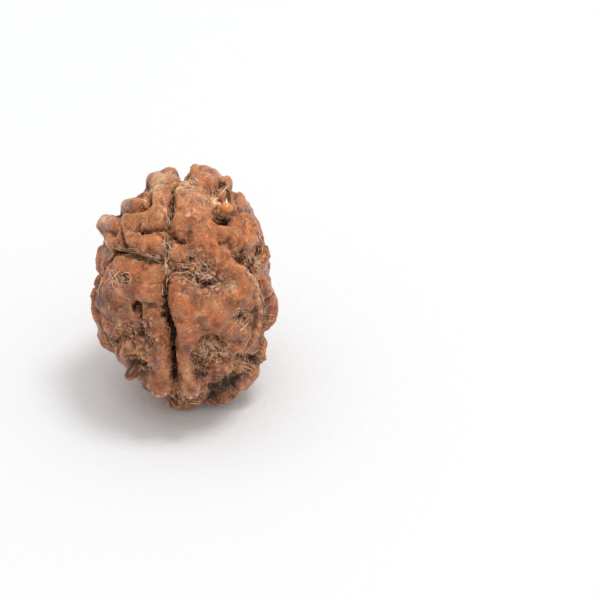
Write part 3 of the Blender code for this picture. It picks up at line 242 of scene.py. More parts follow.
# Narrow pits and slits, in the same terms
PITS = {
    "hook hollow": [(-4.6, 6, 0.3, -0.1), (-3.9, 6, 0.35, 0), (-3.5, 5.8, 0.25, -0.1)],
    "hook pore": [(-4.3, 5.6, 0.15, 0.7)],
    "hook slit": [(-3.3, 6, 0.15, -0.2), (-2.5, 6, 0.15, 0), (-1.9, 6.2, 0.15, 0.4)],
    "hook shade": [(-7.5, 4, 0.3, 0.7), (-6.6, 4.1, 0.3, 0.8), (-5.6, 3.7, 0.25, 0.8),
        (-4.7, 3.3, 0.2, 0.5), (-3.6, 3, 0.15, 0.3), (-2.3, 3, 0.15, 0.3)],
    "curl": [(-6.6, 1.3, 0.4, -0.55), (-5.9, 0.7, 0.35, -0.5)],
    "dark pore": [(-5.1, -1.9, 0.4, 1.6), (-5, -2.4, 0.3, 1.4)],
    "pore slit": [(-4.7, -2.9, 0.15, 0.5), (-4.7, -4.1, 0.15, 0.5), (-4.8, -5.3, 0.2, 0.8)],
    "rough pores": [(-6.5, -5.4, 0.2, 0.9)],
    "rough pore two": [(-5.6, -5.4, 0.25, 1.1)],
    "rough pore three": [(-7.1, -5.9, 0.2, 0.9)],
    "rough pore four": [(-7.5, -4.9, 0.15, 0.6)],
    "olive hollow": [(-4.1, -5, 0.3, 0), (-3.7, -5.7, 0.3, 0.1)],
    "arch hollow": [(-5.7, -7.7, 0.3, 1.8), (-5, -7.8, 0.35, 2.4), (-4.1, -8, 0.35, 2.4),
        (-3.7, -8.3, 0.2, 1.8)],
    "red hollow": [(-9.1, 0.7, 0.5, 0.9)],
    "bud hole": [(-3.9, 9.6, 0.2, 0.5)],
    "ear hollow": [(-8.3, -5.5, 0.4, 0.7), (-7.7, -5.9, 0.35, 0.6)],
    "inner crease": [(-1.1, 5.4, 0.2, 0.6), (-0.4, 5, 0.2, 0.5), (0.2, 5, 0.15, 0.2)],
    "near crease": [(-1.4, 2.1, 0.15, 0.5), (-0.5, 2, 0.2, 0.4)],
    "centre hollow": [(2.2, 0.4, 0.3, 0.9), (2.8, 0.5, 0.25, 0.8)],
    "centre pore": [(0.8, 3.1, 0.25, 0.5), (1.1, 2.9, 0.2, 0.4)],
    "centre pore two": [(2, 2.2, 0.25, 0.5), (2.1, 1.9, 0.2, 0.4)],
    "centre pore three": [(1.5, 1, 0.25, 0.7), (1.7, 0.7, 0.2, 0.6)],
    "centre pore four": [(3.4, 0.8, 0.2, 0.4), (3.2, 1.2, 0.15, 0.3)],
    "centre hollow left": [(0.5, 1.4, 0.25, 0.3), (0.8, 1.2, 0.2, 0.4)],
    "resin hollow": [(3.6, 7.4, 0.4, 0.7), (4, 7.1, 0.45, 0.9), (4.7, 7.2, 0.4, 0.7)],
    "resin notch": [(3.9, 9.2, 0.25, 0.7)],
    "resin notch two": [(4.9, 9.2, 0.3, 0.9)],
    "crown notch": [(4, 11.1, 0.15, 0.2), (3.6, 10.7, 0.15, 0.1)],
    "shoulder crease": [(3.7, 4.6, 0.15, -0.3), (4.3, 4.7, 0.15, -0.3)],
    "violet hollow": [(5.9, 3.7, 0.3, 0.6), (6, 3.4, 0.45, 1.1), (6.1, 2.9, 0.35, 1.1),
        (6.6, 2.9, 0.25, 0.9)],
    "fibre hollow": [(7.2, 2.6, 0.35, 0.3), (7.7, 2, 0.25, 0.4)],
    "fibre pore": [(7.5, 3.3, 0.15, 0.3)],
    "fibre notch": [(7.5, 1.7, 0.25, 1)],
    "belly pit": [(5.7, -2.4, 0.2, -0.4), (6, -3.1, 0.2, -0.3)],
    "right hollow": [(8.4, -1.6, 0.3, 0.8), (8.6, -2.4, 0.5, 1.3), (8.5, -3.3, 0.5, 1.2),
        (8.3, -3.9, 0.3, 0.9)],
    "lower hollow": [(2, -5.8, 0.3, 0.4), (3, -5.7, 0.3, 0.5), (3.9, -5.9, 0.3, 0.5),
        (4.5, -6.4, 0.3, 0.3)],
    "lower hollow slit": [(2.1, -5.4, 0.15, 1), (3.2, -5.3, 0.2, 1.3), (3.7, -5.4, 0.2, 1.2)],
    "lower hollow floor": [(2.2, -6.9, 0.25, 0.3), (2.8, -6.8, 0.2, 0.3)],
    "side hollow": [(1.3, -7.4, 0.3, 0.4), (1.6, -8.3, 0.3, 0.5), (2, -9.1, 0.3, 1.1),
        (2.4, -9, 0.2, 1.1)],
    "low slot": [(5.5, -7.5, 0.2, 0.9), (6, -7.2, 0.25, 1), (6.5, -6.9, 0.15, 0.8)],
    "low slot two": [(7, -7.7, 0.15, 0.8), (7.6, -7.6, 0.2, 1), (8.2, -7.4, 0.15, 0.7)],
    "black hollow": [(5.2, -9.8, 0.35, 1.6), (4.6, -10.2, 0.5, 2), (3.8, -10.6, 0.5, 2.1),
        (3.2, -11.2, 0.45, 1.8)],
    "fringe hole": [(1.5, -11.7, 0.25, 0.9)],
    "fringe hole two": [(5.5, -8.6, 0.25, 0.6)],
    "foot hollow": [(-1.3, -11.4, 0.3, 0.8), (-0.2, -11.2, 0.3, 1), (0, -11.9, 0.3, 0.9)],
}

# Furrows on the front and at its two edges: across, up, half width
# and floor below the level at which they are seen
FURROWS = {
    "front furrow": [(0, 11.2, 0.15, 0.3), (-0.6, 11, 0.15, 0.3), (-1.1, 10.4, 0.15, 1),
        (-1.2, 9.3, 0.2, 1.7), (-1.3, 8.5, 0.25, 1.9), (-1.4, 7.6, 0.2, 1.7), (-1.6, 7, 0.15, 1.3),
        (-1.7, 6.3, 0.15, 1.3), (-1.5, 5.4, 0.15, 0.9), (-1.5, 4.7, 0.15, 0.8), (-1.7, 3.8, 0.15, 0.8),
        (-1.8, 2.8, 0.15, 0.7), (-1.7, 1.7, 0.15, 0.8), (-1.9, 0.6, 0.15, 1.3), (-2.1, -0.4, 0.2, 1.9),
        (-2.1, -1.6, 0.2, 2.4), (-1.9, -2.9, 0.3, 2.4), (-1.55, -3.9, 0.3, 2.4), (-1.2, -5, 0.3, 2.4),
        (-1.2, -6, 0.2, 2), (-1.2, -7, 0.2, 2), (-1, -8.1, 0.2, 2), (-0.95, -9, 0.15, 1.7),
        (-0.8, -10, 0.15, 1.4), (-0.7, -10.9, 0.2, 1.5), (-0.6, -11.9, 0.2, 1.4)],
    "left furrow": [(0, 11.2, 0.15, 0.3), (-1.3, 11.3, 0.1, 0.3), (-2.3, 10.9, 0.15, 0.5),
        (-3.3, 10.6, 0.15, 1), (-3.6, 9.8, 0.15, 1.6), (-3.7, 8.8, 0.15, 2), (-4.8, 7.9, 0.15, 2),
        (-6.5, 7.6, 0.15, 1.8), (-6.8, 6.8, 0.15, 1.6), (-6.5, 5.6, 0.2, 1.6), (-6.3, 4.7, 0.2, 1.6),
        (-7, 3.9, 0.2, 1.8), (-7.8, 3.1, 0.15, 2), (-8.6, 2.1, 0.15, 2), (-9.1, 1, 0.2, 2),
        (-9.3, -0.2, 0.15, 2), (-9.5, -1.3, 0.15, 2), (-9.2, -2.5, 0.15, 2), (-8.9, -3.8, 0.15, 2),
        (-8.6, -4.8, 0.15, 2), (-7.8, -5.6, 0.2, 2), (-7.2, -6.3, 0.15, 2), (-7, -7.3, 0.15, 1.8),
        (-6.9, -8.3, 0.15, 1.6), (-6.1, -10.1, 0.15, 1.6), (-4.7, -10.8, 0.2, 2), (-2.8, -11.8, 0.2, 2),
        (-0.6, -12.1, 0.2, 1.4)],
    "right furrow": [(0, 11.2, 0.15, 0.3), (0.8, 11, 0.15, 0.5), (1.8, 10.4, 0.15, 0.9),
        (2.8, 10.3, 0.15, 0.9), (3.5, 10.6, 0.15, 0.9), (4.2, 10.7, 0.15, 1.3), (4.8, 10.1, 0.2, 1.6),
        (5, 9.3, 0.2, 2), (5.7, 8.2, 0.15, 2), (6.8, 7.9, 0.15, 2), (7.5, 6.8, 0.15, 2),
        (8.1, 5.7, 0.15, 2), (8.4, 4.8, 0.15, 2), (8, 3.6, 0.2, 2), (7.6, 2.4, 0.25, 2),
        (7.7, 1.3, 0.2, 2), (8, -0.1, 0.2, 2), (8.4, -1.3, 0.25, 2), (8.6, -2.4, 0.3, 2),
        (8.5, -3.5, 0.25, 2), (8, -4.6, 0.15, 2), (7.6, -5.6, 0.15, 2), (6.8, -6.6, 0.15, 2),
        (5.7, -7.6, 0.2, 2), (5.2, -8.5, 0.15, 2), (4.7, -9.5, 0.2, 2), (3.7, -10.6, 0.25, 2),
        (2.5, -11.4, 0.2, 2), (1.3, -12.1, 0.15, 1.4), (-0.6, -11.9, 0.15, 1.4)],
}

# Furrows at the back: turn round the axis from the front in degrees, height along it and half width
BACK_FURROWS = {
    "back furrow": [(180, 12.9, 0.3), (180, 11.9, 0.45), (184, 10.4, 0.3), (189, 7.5, 0.25),
        (186, 4, 0.25), (191, 0.5, 0.3), (194, -3, 0.25), (188, -6.5, 0.25), (184, -9.5, 0.25),
        (180, -11.6, 0.2)],
    "right back furrow": [(104, 10.9, 0.2), (124, 9.4, 0.25), (132, 6.5, 0.25), (124, 3, 0.25),
        (125, -0.5, 0.3), (121, -4, 0.25), (114, -7.5, 0.25), (110, -10, 0.2), (120, -11.6, 0.2)],
}

# The crowns carried over the top to the back: turn, height, radius and rise
CROWN_BACKS = {
    "left crown back": [(-98, 12.2, 0.8, 1.2), (-125, 11.6, 0.95, 1.5), (-143, 10.6, 1, 1.5),
        (-152, 9, 1, 1.4)],
    "right crown back": [(103, 12.2, 1.05, 1.5), (133, 11.8, 1.1, 1.7), (150, 11, 1.1, 1.6),
        (158, 9.3, 1.1, 1.5)],
    "pink knob back": [(118, 11, 0.7, 1.2), (126, 10.2, 0.8, 1.3)],
}

# Broken ridges along both sides of each furrow at the back
BANK_OFFSET = 1.35
BANK_OFFSET_SPREAD = (0.9, 1.2)
BANK_RADIUS = (0.8, 1.05)
BANK_RISE = (1.0, 1.5)
BANK_PARTS = 3
BANK_BREAK = 0.3
BANK_SEED = 60

# Lumps out of sight of the front face: each is joined to its nearest, if that is near enough, and they
# keep clear of the furrows, which are known by points along them, and of the forms of the front
LUMP_SEED = 58
LUMP_TRIES = 5200
LUMP_SPACING = 1.75
LUMP_LINK = 2.5
LUMP_RADIUS = (0.8, 1.3)
LUMP_RISE = (1.0, 1.9)
FURROW_CLEARANCE = 1.9
LINK_CLEARANCE = 1.5
LINE_POINTS = 8
FRONT_CLEARANCE = 1.35

# Past the limit the front face shows the wood; towards it the lumps are low, so that they don't show
SIGHT_LIMIT = 0.4
EDGE_START = -0.6
EDGE_RISE = (0.25, 0.55)

# Pits between those lumps
PIT_SEED = 59
PIT_TRIES = 900
PIT_SPACING = 1.05
PIT_HALF_WIDTH = (0.2, 0.5)
PIT_FLOOR = (0.4, 1.4)
PIT_RUN = (0.1, 1.0)

# What keeps a link of no length from being divided by
TINY = 1e-9


def egg_sizes(rise):
    return HALF_LENGTH + rise, HALF_WIDTH + rise


def on_face(across, up, rise):
    """The point of the egg, grown by rise, that the front face shows at this place."""
    long_half, wide_half = egg_sizes(rise)
    tip_up = float(UP @ AXIS)
    tip_out = float(OUT @ AXIS)
    stretch = 1 / long_half ** 2 - 1 / wide_half ** 2
    square = 1 / wide_half ** 2 + stretch * tip_out ** 2
    slope = 2 * stretch * up * tip_up * tip_out
    level = (across ** 2 + up ** 2) / wide_half ** 2 + stretch * (up * tip_up) ** 2 - 1
    root = max(slope ** 2 - 4 * square * level, 0.0)
    outward = (-slope + math.sqrt(root)) / (2 * square)
    return across * ACROSS + up * UP + outward * OUT


def ring_radius(height, rise):
    long_half, wide_half = egg_sizes(rise)
    return wide_half * math.sqrt(max(1 - (height / long_half) ** 2, 0.0))


def on_ring(turn, height, rise):
    """The point of the egg, grown by rise, at this turn round the axis and this height along it."""
    angle = math.radians(turn)
    outward = math.cos(angle) * FRONT + math.sin(angle) * ACROSS
    return height * AXIS + ring_radius(height, rise) * outward


def outward_at(point):
    """The egg's outward direction at a point."""
    along = float(point @ AXIS)
    beside = point - along * AXIS
    normal = beside / HALF_WIDTH ** 2 + along * AXIS / HALF_LENGTH ** 2
    return normal / np.linalg.norm(normal)


def soft_least(first, second, blend):
    share = np.clip(0.5 + 0.5 * (second - first) / blend, 0.0, 1.0)
    return second + (first - second) * share - blend * share * (1 - share)


def soft_most(first, second, blend):
    return -soft_least(-first, -second, blend)


def near_link(points, start, end):
    """How far along the link from start to end each point is, and its distance from the link."""
    run = end - start
    square = max(float(run @ run), TINY)
    share = np.clip(((points - start) @ run) / square, 0.0, 1.0)
    nearest = start + share[..., None] * run
    return share, np.linalg.norm(points - nearest, axis=-1)


class Wood:
    """How deep in the wood each step of each ray lies: below nought is inside."""

    def __init__(self, rays):
        self.rays = rays
        self.steps = np.arange(INNER_REACH, OUTER_REACH, STEP)
        along = (rays @ AXIS)[:, None] * self.steps
        beside = np.sqrt(np.maximum(self.steps ** 2 - along ** 2, 0.0))
        level = np.hypot(beside / HALF_WIDTH, along / HALF_LENGTH)
        steepness = np.hypot(beside / HALF_WIDTH ** 2, along / HALF_LENGTH ** 2) / level
        self.depth = ((level - 1) / steepness - PADDING).astype(np.float32)

    def rays_near(self, centre, reach):
        forward = self.rays @ centre
        side = centre @ centre - forward ** 2
        return np.nonzero((side < reach ** 2) & (forward > 0))[0]

    def steps_near(self, centre, reach):
        distance = float(np.linalg.norm(centre))
        first = max(int((distance - reach - INNER_REACH) / STEP), 0)
        last = min(int((distance + reach - INNER_REACH) / STEP) + 2, len(self.steps))
        return slice(first, last)

    def raise_chain(self, balls, blend):
        """Add a row of balls joined by tapering links. Each ball is a middle and a radius."""
        centres = np.array([ball[0] for ball in balls])
        radii = np.array([ball[1] for ball in balls])
        middle = (centres.min(axis=0) + centres.max(axis=0)) / 2
        spread = np.linalg.norm(centres - middle, axis=1).max()
        reach = float(spread + radii.max() + 2 * blend)
        chosen = self.rays_near(middle, reach)
        run = self.steps_near(middle, reach)
        points = self.rays[chosen][:, None, :] * self.steps[run][None, :, None]
        gap = np.full(points.shape[:2], OUTER_REACH)
        for end in range(1 if len(balls) > 1 else 0, len(balls)):
            start = max(end - 1, 0)
            share, distance = near_link(points, centres[start], centres[end])
            radius = radii[start] + (radii[end] - radii[start]) * share
            gap = np.minimum(gap, distance - radius)
        self.depth[chosen, run] = soft_least(self.depth[chosen, run], gap, blend)

    def sink_chain(self, marks, blend):
        """Cut a groove or a hole with walls that follow the rays.

        Each mark is a point of the surface, a half width and how deep the floor lies below the point.
        """
        for end in range(1 if len(marks) > 1 else 0, len(marks)):
            start_point, start_half, start_floor = marks[max(end - 1, 0)]
            end_point, end_half, end_floor = marks[end]
            middle = (start_point + end_point) / 2
            spread = float(np.linalg.norm(end_point - start_point)) / 2
            chosen = self.rays_near(middle, spread + 2 * max(start_half, end_half) + 3 * blend)
            level = float(np.linalg.norm(middle))
            share, distance = near_link(self.rays[chosen] * level, start_point, end_point)
            half = start_half + (end_half - start_half) * share
            floor = start_floor + (end_floor - start_floor) * share
            above = self.steps - (level - floor)[:, None]
            width = half[:, None] * (PIT_FOOT_WIDTH + PIT_FLARE * np.clip(above, 0, PIT_FLARE_END))
            cut = soft_most(distance[:, None] - width, -above, blend)
            self.depth[chosen] = soft_most(self.depth[chosen], -cut, blend)

    def fill(self, level, blend):
        """Fill each ray with wood up to this level."""
        self.depth = soft_least(self.depth, self.steps - level[:, None], blend)

    def reach(self):
        """How far out the wood goes on each ray."""
        inside = self.depth < 0
        last = len(self.steps) - 1 - np.argmax(inside[:, ::-1], axis=1)
        last = np.minimum(last, len(self.steps) - 2)
        rows = np.arange(len(self.rays))
        inner = self.depth[rows, last]
        outer = self.depth[rows, last + 1]
        share = np.clip(inner / (inner - outer), 0.0, 1.0)
        return self.steps[last] + STEP * share


class Net:
    """The edges of a mesh, to even out what is known at each of its points."""

    def __init__(self, mesh):
        ends = np.empty(len(mesh.edges) * 2, np.int32)
        mesh.edges.foreach_get("vertices", ends)
        self.first, self.second = ends.reshape(-1, 2).T.copy()
        self.size = len(mesh.vertices)
        self.count = np.bincount(ends, minlength=self.size)
        self.edge = math.sqrt(2 * STONE_AREA / math.sqrt(3) / self.size)

    def even(self, values, width):
        """The mean of the values within about this width, in millimetres."""
        for _ in range(max(round(2 * (width / self.edge) ** 2), 1)):
            total = np.bincount(self.first, values[self.second], self.size)
            total += np.bincount(self.second, values[self.first], self.size)
            values = total / self.count
        return values

    def even_points(self, points, rounds, share):
        for _ in range(rounds):
            middles = np.stack([self.even(points[:, axis], 0.0) for axis in range(3)], axis=1)
            points = points + (middles - points) * share
        return points


def ramp(values, start, end):
    """Nought before start, one after end, and a smooth rise between."""
    share = np.clip((values - start) / (end - start), 0.0, 1.0)
    return share * share * (3 - 2 * share)


def fill_gaps(wood, net):
    level = net.even(wood.reach(), FILL_WIDTH) - FILL_DROP
    hidden = 1 - ramp(wood.rays @ OUT, *FILL_EDGE)
    wood.fill(level - FILL_FADE * hidden, FILL_BLEND)


def face_ball(mark):
    across, up, radius, rise = mark
    return on_face(across, up, rise - radius), radius


def ring_ball(mark):
    turn, height, radius, rise = mark
    return on_ring(turn, height, rise - radius), radius


def raise_front(wood):
    for forms, blend in ((RIDGES, RIDGE_BLEND), (KNOBS, KNOB_BLEND)):
        for marks in forms.values():
            wood.raise_chain([face_ball(mark) for mark in marks], blend)


def raise_crown_backs(wood):
    for marks in CROWN_BACKS.values():
        wood.raise_chain([ring_ball(mark) for mark in marks], RIDGE_BLEND)


def raise_banks(wood):
    rng = random.Random(BANK_SEED)
    for marks in BACK_FURROWS.values():
        for side in (-1, 1):
            balls = []
            for start, end in zip(marks[1:], marks[2:-1]):
                for part in range(BANK_PARTS):
                    share = part / BANK_PARTS
                    height = start[1] + (end[1] - start[1]) * share
                    offset = BANK_OFFSET * rng.uniform(*BANK_OFFSET_SPREAD)
                    shift = math.degrees(offset / ring_radius(height, 0.0))
                    turn = start[0] + (end[0] - start[0]) * share + side * shift
                    radius = rng.uniform(*BANK_RADIUS)
                    balls.append(ring_ball((turn, height, radius, rng.uniform(*BANK_RISE))))
                    if rng.random() < BANK_BREAK:
                        wood.raise_chain(balls, RIDGE_BLEND)
                        balls = []
            if balls:
                wood.raise_chain(balls, RIDGE_BLEND)


def furrow_lines():
    lines = []
    for marks in FURROWS.values():
        lines.append([(on_face(across, up, SEEN_RISE), half, floor)
                      for across, up, half, floor in marks])
    for marks in BACK_FURROWS.values():
        lines.append([(on_ring(turn, height, SEEN_RISE), half, BACK_FURROW_FLOOR)
                      for turn, height, half in marks])
    return lines


def points_along(lines):
    """Closely spaced points along the middle of every furrow."""
    shares = np.linspace(0, 1, LINE_POINTS)[:, None]
    pairs = [pair for line in lines for pair in zip(line, line[1:])]
    return np.concatenate([start[0] + (end[0] - start[0]) * shares for start, end in pairs])


def clear_of(point, others, distance):
    return len(others) == 0 or np.linalg.norm(np.array(others) - point, axis=1).min() > distance


def places_out_of_sight(rng, tries, spacing, taken, furrow_points):
    """Places scattered where the front face doesn't show them, kept apart from each other."""
    forms = list(RIDGES.values()) + list(KNOBS.values())
    front_points = [on_face(mark[0], mark[1], 0.0) for marks in forms for mark in marks]
    places = []
    for _ in range(tries):
        direction = np.array([rng.gauss(0, 1) for _ in range(3)])
        direction /= np.linalg.norm(direction)
        along = float(direction @ AXIS)
        size = 1 / math.sqrt((1 - along ** 2) / HALF_WIDTH ** 2 + along ** 2 / HALF_LENGTH ** 2)
        point = direction * size
        if float(outward_at(point) @ OUT) > SIGHT_LIMIT:
            continue
        if not clear_of(point, furrow_points, FURROW_CLEARANCE):
            continue
        if clear_of(point, places + taken, spacing) and clear_of(point, front_points, FRONT_CLEARANCE):
            places.append(point)
    return places


def raise_lumps(wood, furrow_points):
    rng = random.Random(LUMP_SEED)
    places = places_out_of_sight(rng, LUMP_TRIES, LUMP_SPACING, [], furrow_points)
    balls = []
    for place in places:
        outward = outward_at(place)
        radius = rng.uniform(*LUMP_RADIUS)
        rise = rng.uniform(*(EDGE_RISE if float(outward @ OUT) > EDGE_START else LUMP_RISE))
        balls.append((place + outward * (rise - radius), radius))
    for number, place in enumerate(places):
        distances = np.linalg.norm(np.array(places) - place, axis=1)
        distances[number] = OUTER_REACH
        nearest = int(distances.argmin())
        middle = (place + places[nearest]) / 2
        joined = distances[nearest] < LUMP_LINK and clear_of(middle, furrow_points, LINK_CLEARANCE)
        wood.raise_chain([balls[number], balls[nearest]] if joined else [balls[number]], RIDGE_BLEND)
    return places


def sink_all(wood, hollows, blend):
    for marks in hollows.values():
        holes = [(on_face(across, up, SEEN_RISE), half, floor + SEEN_RISE)
                 for across, up, half, floor in marks]
        wood.sink_chain(holes, blend)


def sink_pits(wood, lumps, furrow_points):
    rng = random.Random(PIT_SEED)
    for place in places_out_of_sight(rng, PIT_TRIES, PIT_SPACING, lumps, furrow_points):
        outward = outward_at(place)
        sideways = np.cross(outward, [rng.gauss(0, 1) for _ in range(3)])
        far = place + sideways / np.linalg.norm(sideways) * rng.uniform(*PIT_RUN)
        marks = []
        for point in (place, far):
            half = rng.uniform(*PIT_HALF_WIDTH)
            floor = rng.uniform(*PIT_FLOOR)
            marks.append((point + outward * SEEN_RISE, half, floor + SEEN_RISE))
        wood.sink_chain(marks, PIT_BLEND)


def raise_scar(wood):
    """The broad lump at the lower end, where the stalk was."""
    middle = np.array((0.0, -SCAR_FORWARD, SCAR_RADIUS - SCAR_BOTTOM))
    wood.raise_chain([(middle, SCAR_RADIUS)], KNOB_BLEND)


def shape_wood(rays, net):
    """How far out the wood goes on each ray, and how deep its hollows and its pits are cut there."""
    wood = Wood(rays)
    lines = furrow_lines()
    furrow_points = points_along(lines)
    raise_front(wood)
    raise_crown_backs(wood)
    raise_banks(wood)
    lumps = raise_lumps(wood, furrow_points)
    fill_gaps(wood, net)
    whole = wood.reach()
    sink_all(wood, DISHES, DISH_BLEND)
    dished = wood.reach()
    sink_all(wood, PITS, PIT_BLEND)
    sink_pits(wood, lumps, furrow_points)
    for line in lines:
        wood.sink_chain(line, FURROW_BLEND)
    pitted = wood.reach()
    raise_scar(wood)
    return wood.reach(), whole - dished, dished - pitted


# The clouds of noise over the wood: the size of their features in millimetres, their octaves, and a
# shift that keeps each apart from the others
CLOUDS = {
    "swell": (1.9, 1, 0),
    "patches": (2.2, 2, 0),
    "pore areas": (1.7, 1, 0),
    "wrinkles": (0.8, 2, 0),
    "skin": (0.3, 1, 0),
    "knot waver": (1.1, 1, 0),
    "knot areas": (3.3, 1, -4),
    "cracks": (1.9, 2, 13),
    "crack areas": (2.6, 1, 31),
    "cord waver": (0.9, 1, 0),
    "cords": (0.24, 1, 0),
    "broad stain": (3.1, 2, 0),
    "small stain": (1.1, 2, 20),
    "pink areas": (1.9, 1, -11),
    "violet areas": (2.4, 1, 5),
}
OCTAVE_FADE = 1.0
OCTAVE_STEP = 2.0

# The scattered cells over it: their spacing in millimetres and their shift
CELLS = {"grain": (0.48, 0), "pores": (0.85, 7), "knots": (1.5, 0)}


def cloud(points, kind):
    """Smooth noise of this kind at each point, about -1 to 1."""
    size, octaves, shift = CLOUDS[kind]
    places = ((points + shift) / size).tolist()
    if octaves == 1:
        return np.array([noise.noise(place) for place in places])
    return np.array([noise.fractal(place, OCTAVE_FADE, OCTAVE_STEP, octaves) for place in places])


def cells(points, kind):
    """The distance to the nearest cell's middle at each point, in shares of the cells' spacing."""
    spacing, shift = CELLS[kind]
    return np.array([noise.voronoi(place)[0][0] for place in ((points + shift) / spacing).tolist()])


# Where the front face is granular: across, up and radius
GRANULAR = [
    (-6.1, -4.5, 1.6), (-4.9, -6.5, 1.3), (-3.8, -5.3, 1.2), (1.2, 1.9, 2.3), (0.6, 10.6, 1.1),
    (2.2, 7.8, 0.8), (3.2, -6.4, 2), (7.5, 2.8, 1.1), (-0.6, -11.7, 1.3), (5.9, -3, 1.2),
    (-6.2, 1.1, 1.1), (6, -8.2, 1.5), (-2.2, 2.9, 0.9), (8.5, -2.9, 0.9), (4.3, -10.2, 1.4),
    (-6.5, 3.9, 0.9), (1.4, 4.3, 0.8), (4, 7, 0.8), (-4, -3.6, 1), (0.3, -0.7, 0.7), (-4.4, 5.9, 0.8),
    (5.9, 3.7, 0.9), (2, -8.6, 1.2), (-5, -8.6, 1.3), (3.2, 0.6, 1.4)]

# Where it is smooth and shiny
SMOOTH = [
    (2.4, 11.4, 1.8), (-2, 11.7, 0.9), (-2.8, 9.6, 0.9), (-3, 8.2, 0.8), (-8, 6.8, 1.2),
    (-5.4, 8.9, 1.2), (-5.5, 7, 0.9), (-5.6, 4.9, 0.9), (-3.7, 4.5, 1.1), (-2.8, 5.2, 0.7),
    (-0.5, 6.7, 1), (0.7, 8.1, 1.1), (1, 9.6, 0.8), (2.8, 5.8, 1.2), (5.7, 6.7, 1.4), (6.3, 5.2, 1.1),
    (1.6, 4.6, 0.9), (3.3, 3.7, 1), (5.1, 2.3, 1), (6.3, 0.8, 1.1), (7.2, -1.3, 0.9), (-0.5, 3.6, 0.8),
    (-3.4, 1.4, 1.3), (-4.6, -0.4, 0.9), (-6.9, -0.9, 1.1), (-3.1, -0.4, 1), (-7.3, 1.6, 0.8),
    (0.1, -1.9, 1.6), (3.3, -3, 1.7), (5.7, -4.2, 1), (-0.5, -4.2, 0.9), (-0.2, -7.2, 0.8),
    (-2.8, -4.2, 0.9), (-2.1, -6.6, 0.7), (-2.5, -10, 1.7), (0.7, -10.1, 1.4), (9.2, -2.1, 1.1),
    (-6.1, -6.9, 1.1), (-5.8, -9.1, 0.7), (7.2, -8.6, 0.9), (4.2, -11.4, 0.8), (4.6, 4.9, 1.2),
    (5.2, 6.1, 1.2), (4, 6.2, 1), (2, 6.9, 1), (-6.6, 6, 0.8), (-4.4, 7.9, 0.7), (2.4, 5.4, 1),
    (-5, 1.9, 1), (0.9, 9, 1), (-1.9, 9.9, 0.7), (2.2, 7.6, 1)]

# Where the edges of the front are dull
DULL = [
    (-9, -1.2, 1.8), (-8.8, 0.9, 1.3), (-8.3, -3.2, 1.3), (-8.6, 5.6, 0.8), (8.9, -3.6, 0.9)]

# Where the painted shade of its hollows, creases and pits is held back, so that they stay pale
PALE = [
    (-4.1, 6.2, 1.1), (-3.6, 9.3, 0.8), (-0.9, -10.6, 0.7), (5.7, 4.3, 0.9), (7.6, 3.1, 1),
    (-6.6, -4.1, 1), (-1.7, 6.9, 0.6), (-4.1, 9, 0.6), (3, -6.4, 1.2), (2, -7.2, 0.7)]

# Where its furrows and pits are bare of fibre
BARE = [
    (-1.9, 0, 0.8), (-1.9, -1, 1.5), (-1.8, -2, 1.7), (-1.6, -3.3, 1.7), (-1.3, -4.6, 1.7),
    (-1.2, -6, 1.7), (-1.2, -7.3, 1.7), (-1, -8.6, 1.7), (-0.9, -9.8, 1.5), (-1.2, 9, 0.7),
    (-5.2, -1.9, 1.5), (-5, -3.2, 0.9), (4.2, -10.2, 1.5), (3.1, -11, 1.3), (5, -9.7, 1.3),
    (-5, -8, 1.5), (-5.9, -7.8, 1.2), (-4.1, -8.3, 1.2), (2, -9, 0.7), (5.7, -2.8, 0.6),
    (-6.8, 4.1, 0.9), (6.1, 3.6, 0.7), (-4.2, 5.9, 0.9), (4.2, 7.2, 0.5), (-2.5, -10.1, 1.4),
    (0.7, -9.8, 1.3), (-5.9, -9.1, 0.8)]

# How far each of these places reaches: its effect is full inside the first share of its radius, and gone
# past the second
PLACE_FULL = 0.35
PLACE_END = 1.15

# Where the front face ends: how far the wood there looks towards the viewer
SEEN_EDGE = (-0.45, -0.15)

# The widths, in millimetres, over which the wood is evened out to find its hollows, its creases, the
# edges of its grain and of its fibres, and its relief
HOLLOW_WIDTH = 1.15
CREASE_WIDTH = 0.35
GRAIN_MASK_WIDTH = 0.16
FIBRE_MASK_WIDTH = 0.272
RELIEF_WIDTH = 0.3

# What makes the wood granular: how strongly, how much the patches of noise or the hollows shift its
# edge, and where that edge starts and ends
GRANULAR_PLACES = (1.0, 0.5, -0.75, 0.1)
GRANULAR_HOLLOWS = (0.85, 0.35, 0.15, 0.6)
GRANULAR_DISHES = (1.0, 0.2, 0.15, 0.5)

# How granular the black places make it, and how far beyond them; how much of this the smooth places
# take away; and how rough the dull places are
BLACK_ROUGHNESS = 0.8
BLACK_REACH = 1.4
SMOOTHING = 0.85
DULLING = 0.7

# Where fibres cling: the depths of a pit and of a hollow between which they set in, the hollows between
# which the loose ones do, and how much of them the bare places lack
PIT_FIBRES = (0.05, 0.4)
HOLLOW_FIBRES = (0.1, 0.5)
FIBRE_DEPTHS = (0.0, 0.4)
BARENESS = 0.9

# The fine surface. For each kind of relief: its height in millimetres, the share of it that plain wood
# has, what granular wood adds to that share, and what smooth wood takes from it
RELIEF = {
    "grain": (0.2, 0.0, 1.0, 0.0),
    "pores": (0.22, 0.15, 1.0, 0.0),
    "wrinkles": (0.13, 0.5, 0.5, 0.25),
    "skin": (0.05, 1.0, 0.0, 0.4),
    "knots": (0.2, 1.0, 0.0, 0.0),
    "cracks": (0.1, 1.0, 0.0, 0.5),
}

# The radius of a grain, of a knot, and of a pore at its floor and its rim, in shares of their spacing,
# and how near nought the noise of the cracks is where one runs
GRAIN_RADIUS = 0.55
KNOT_RADIUS = 0.35
PORE_RADII = (0.12, 0.3)
CRACK_WIDTH = 0.09

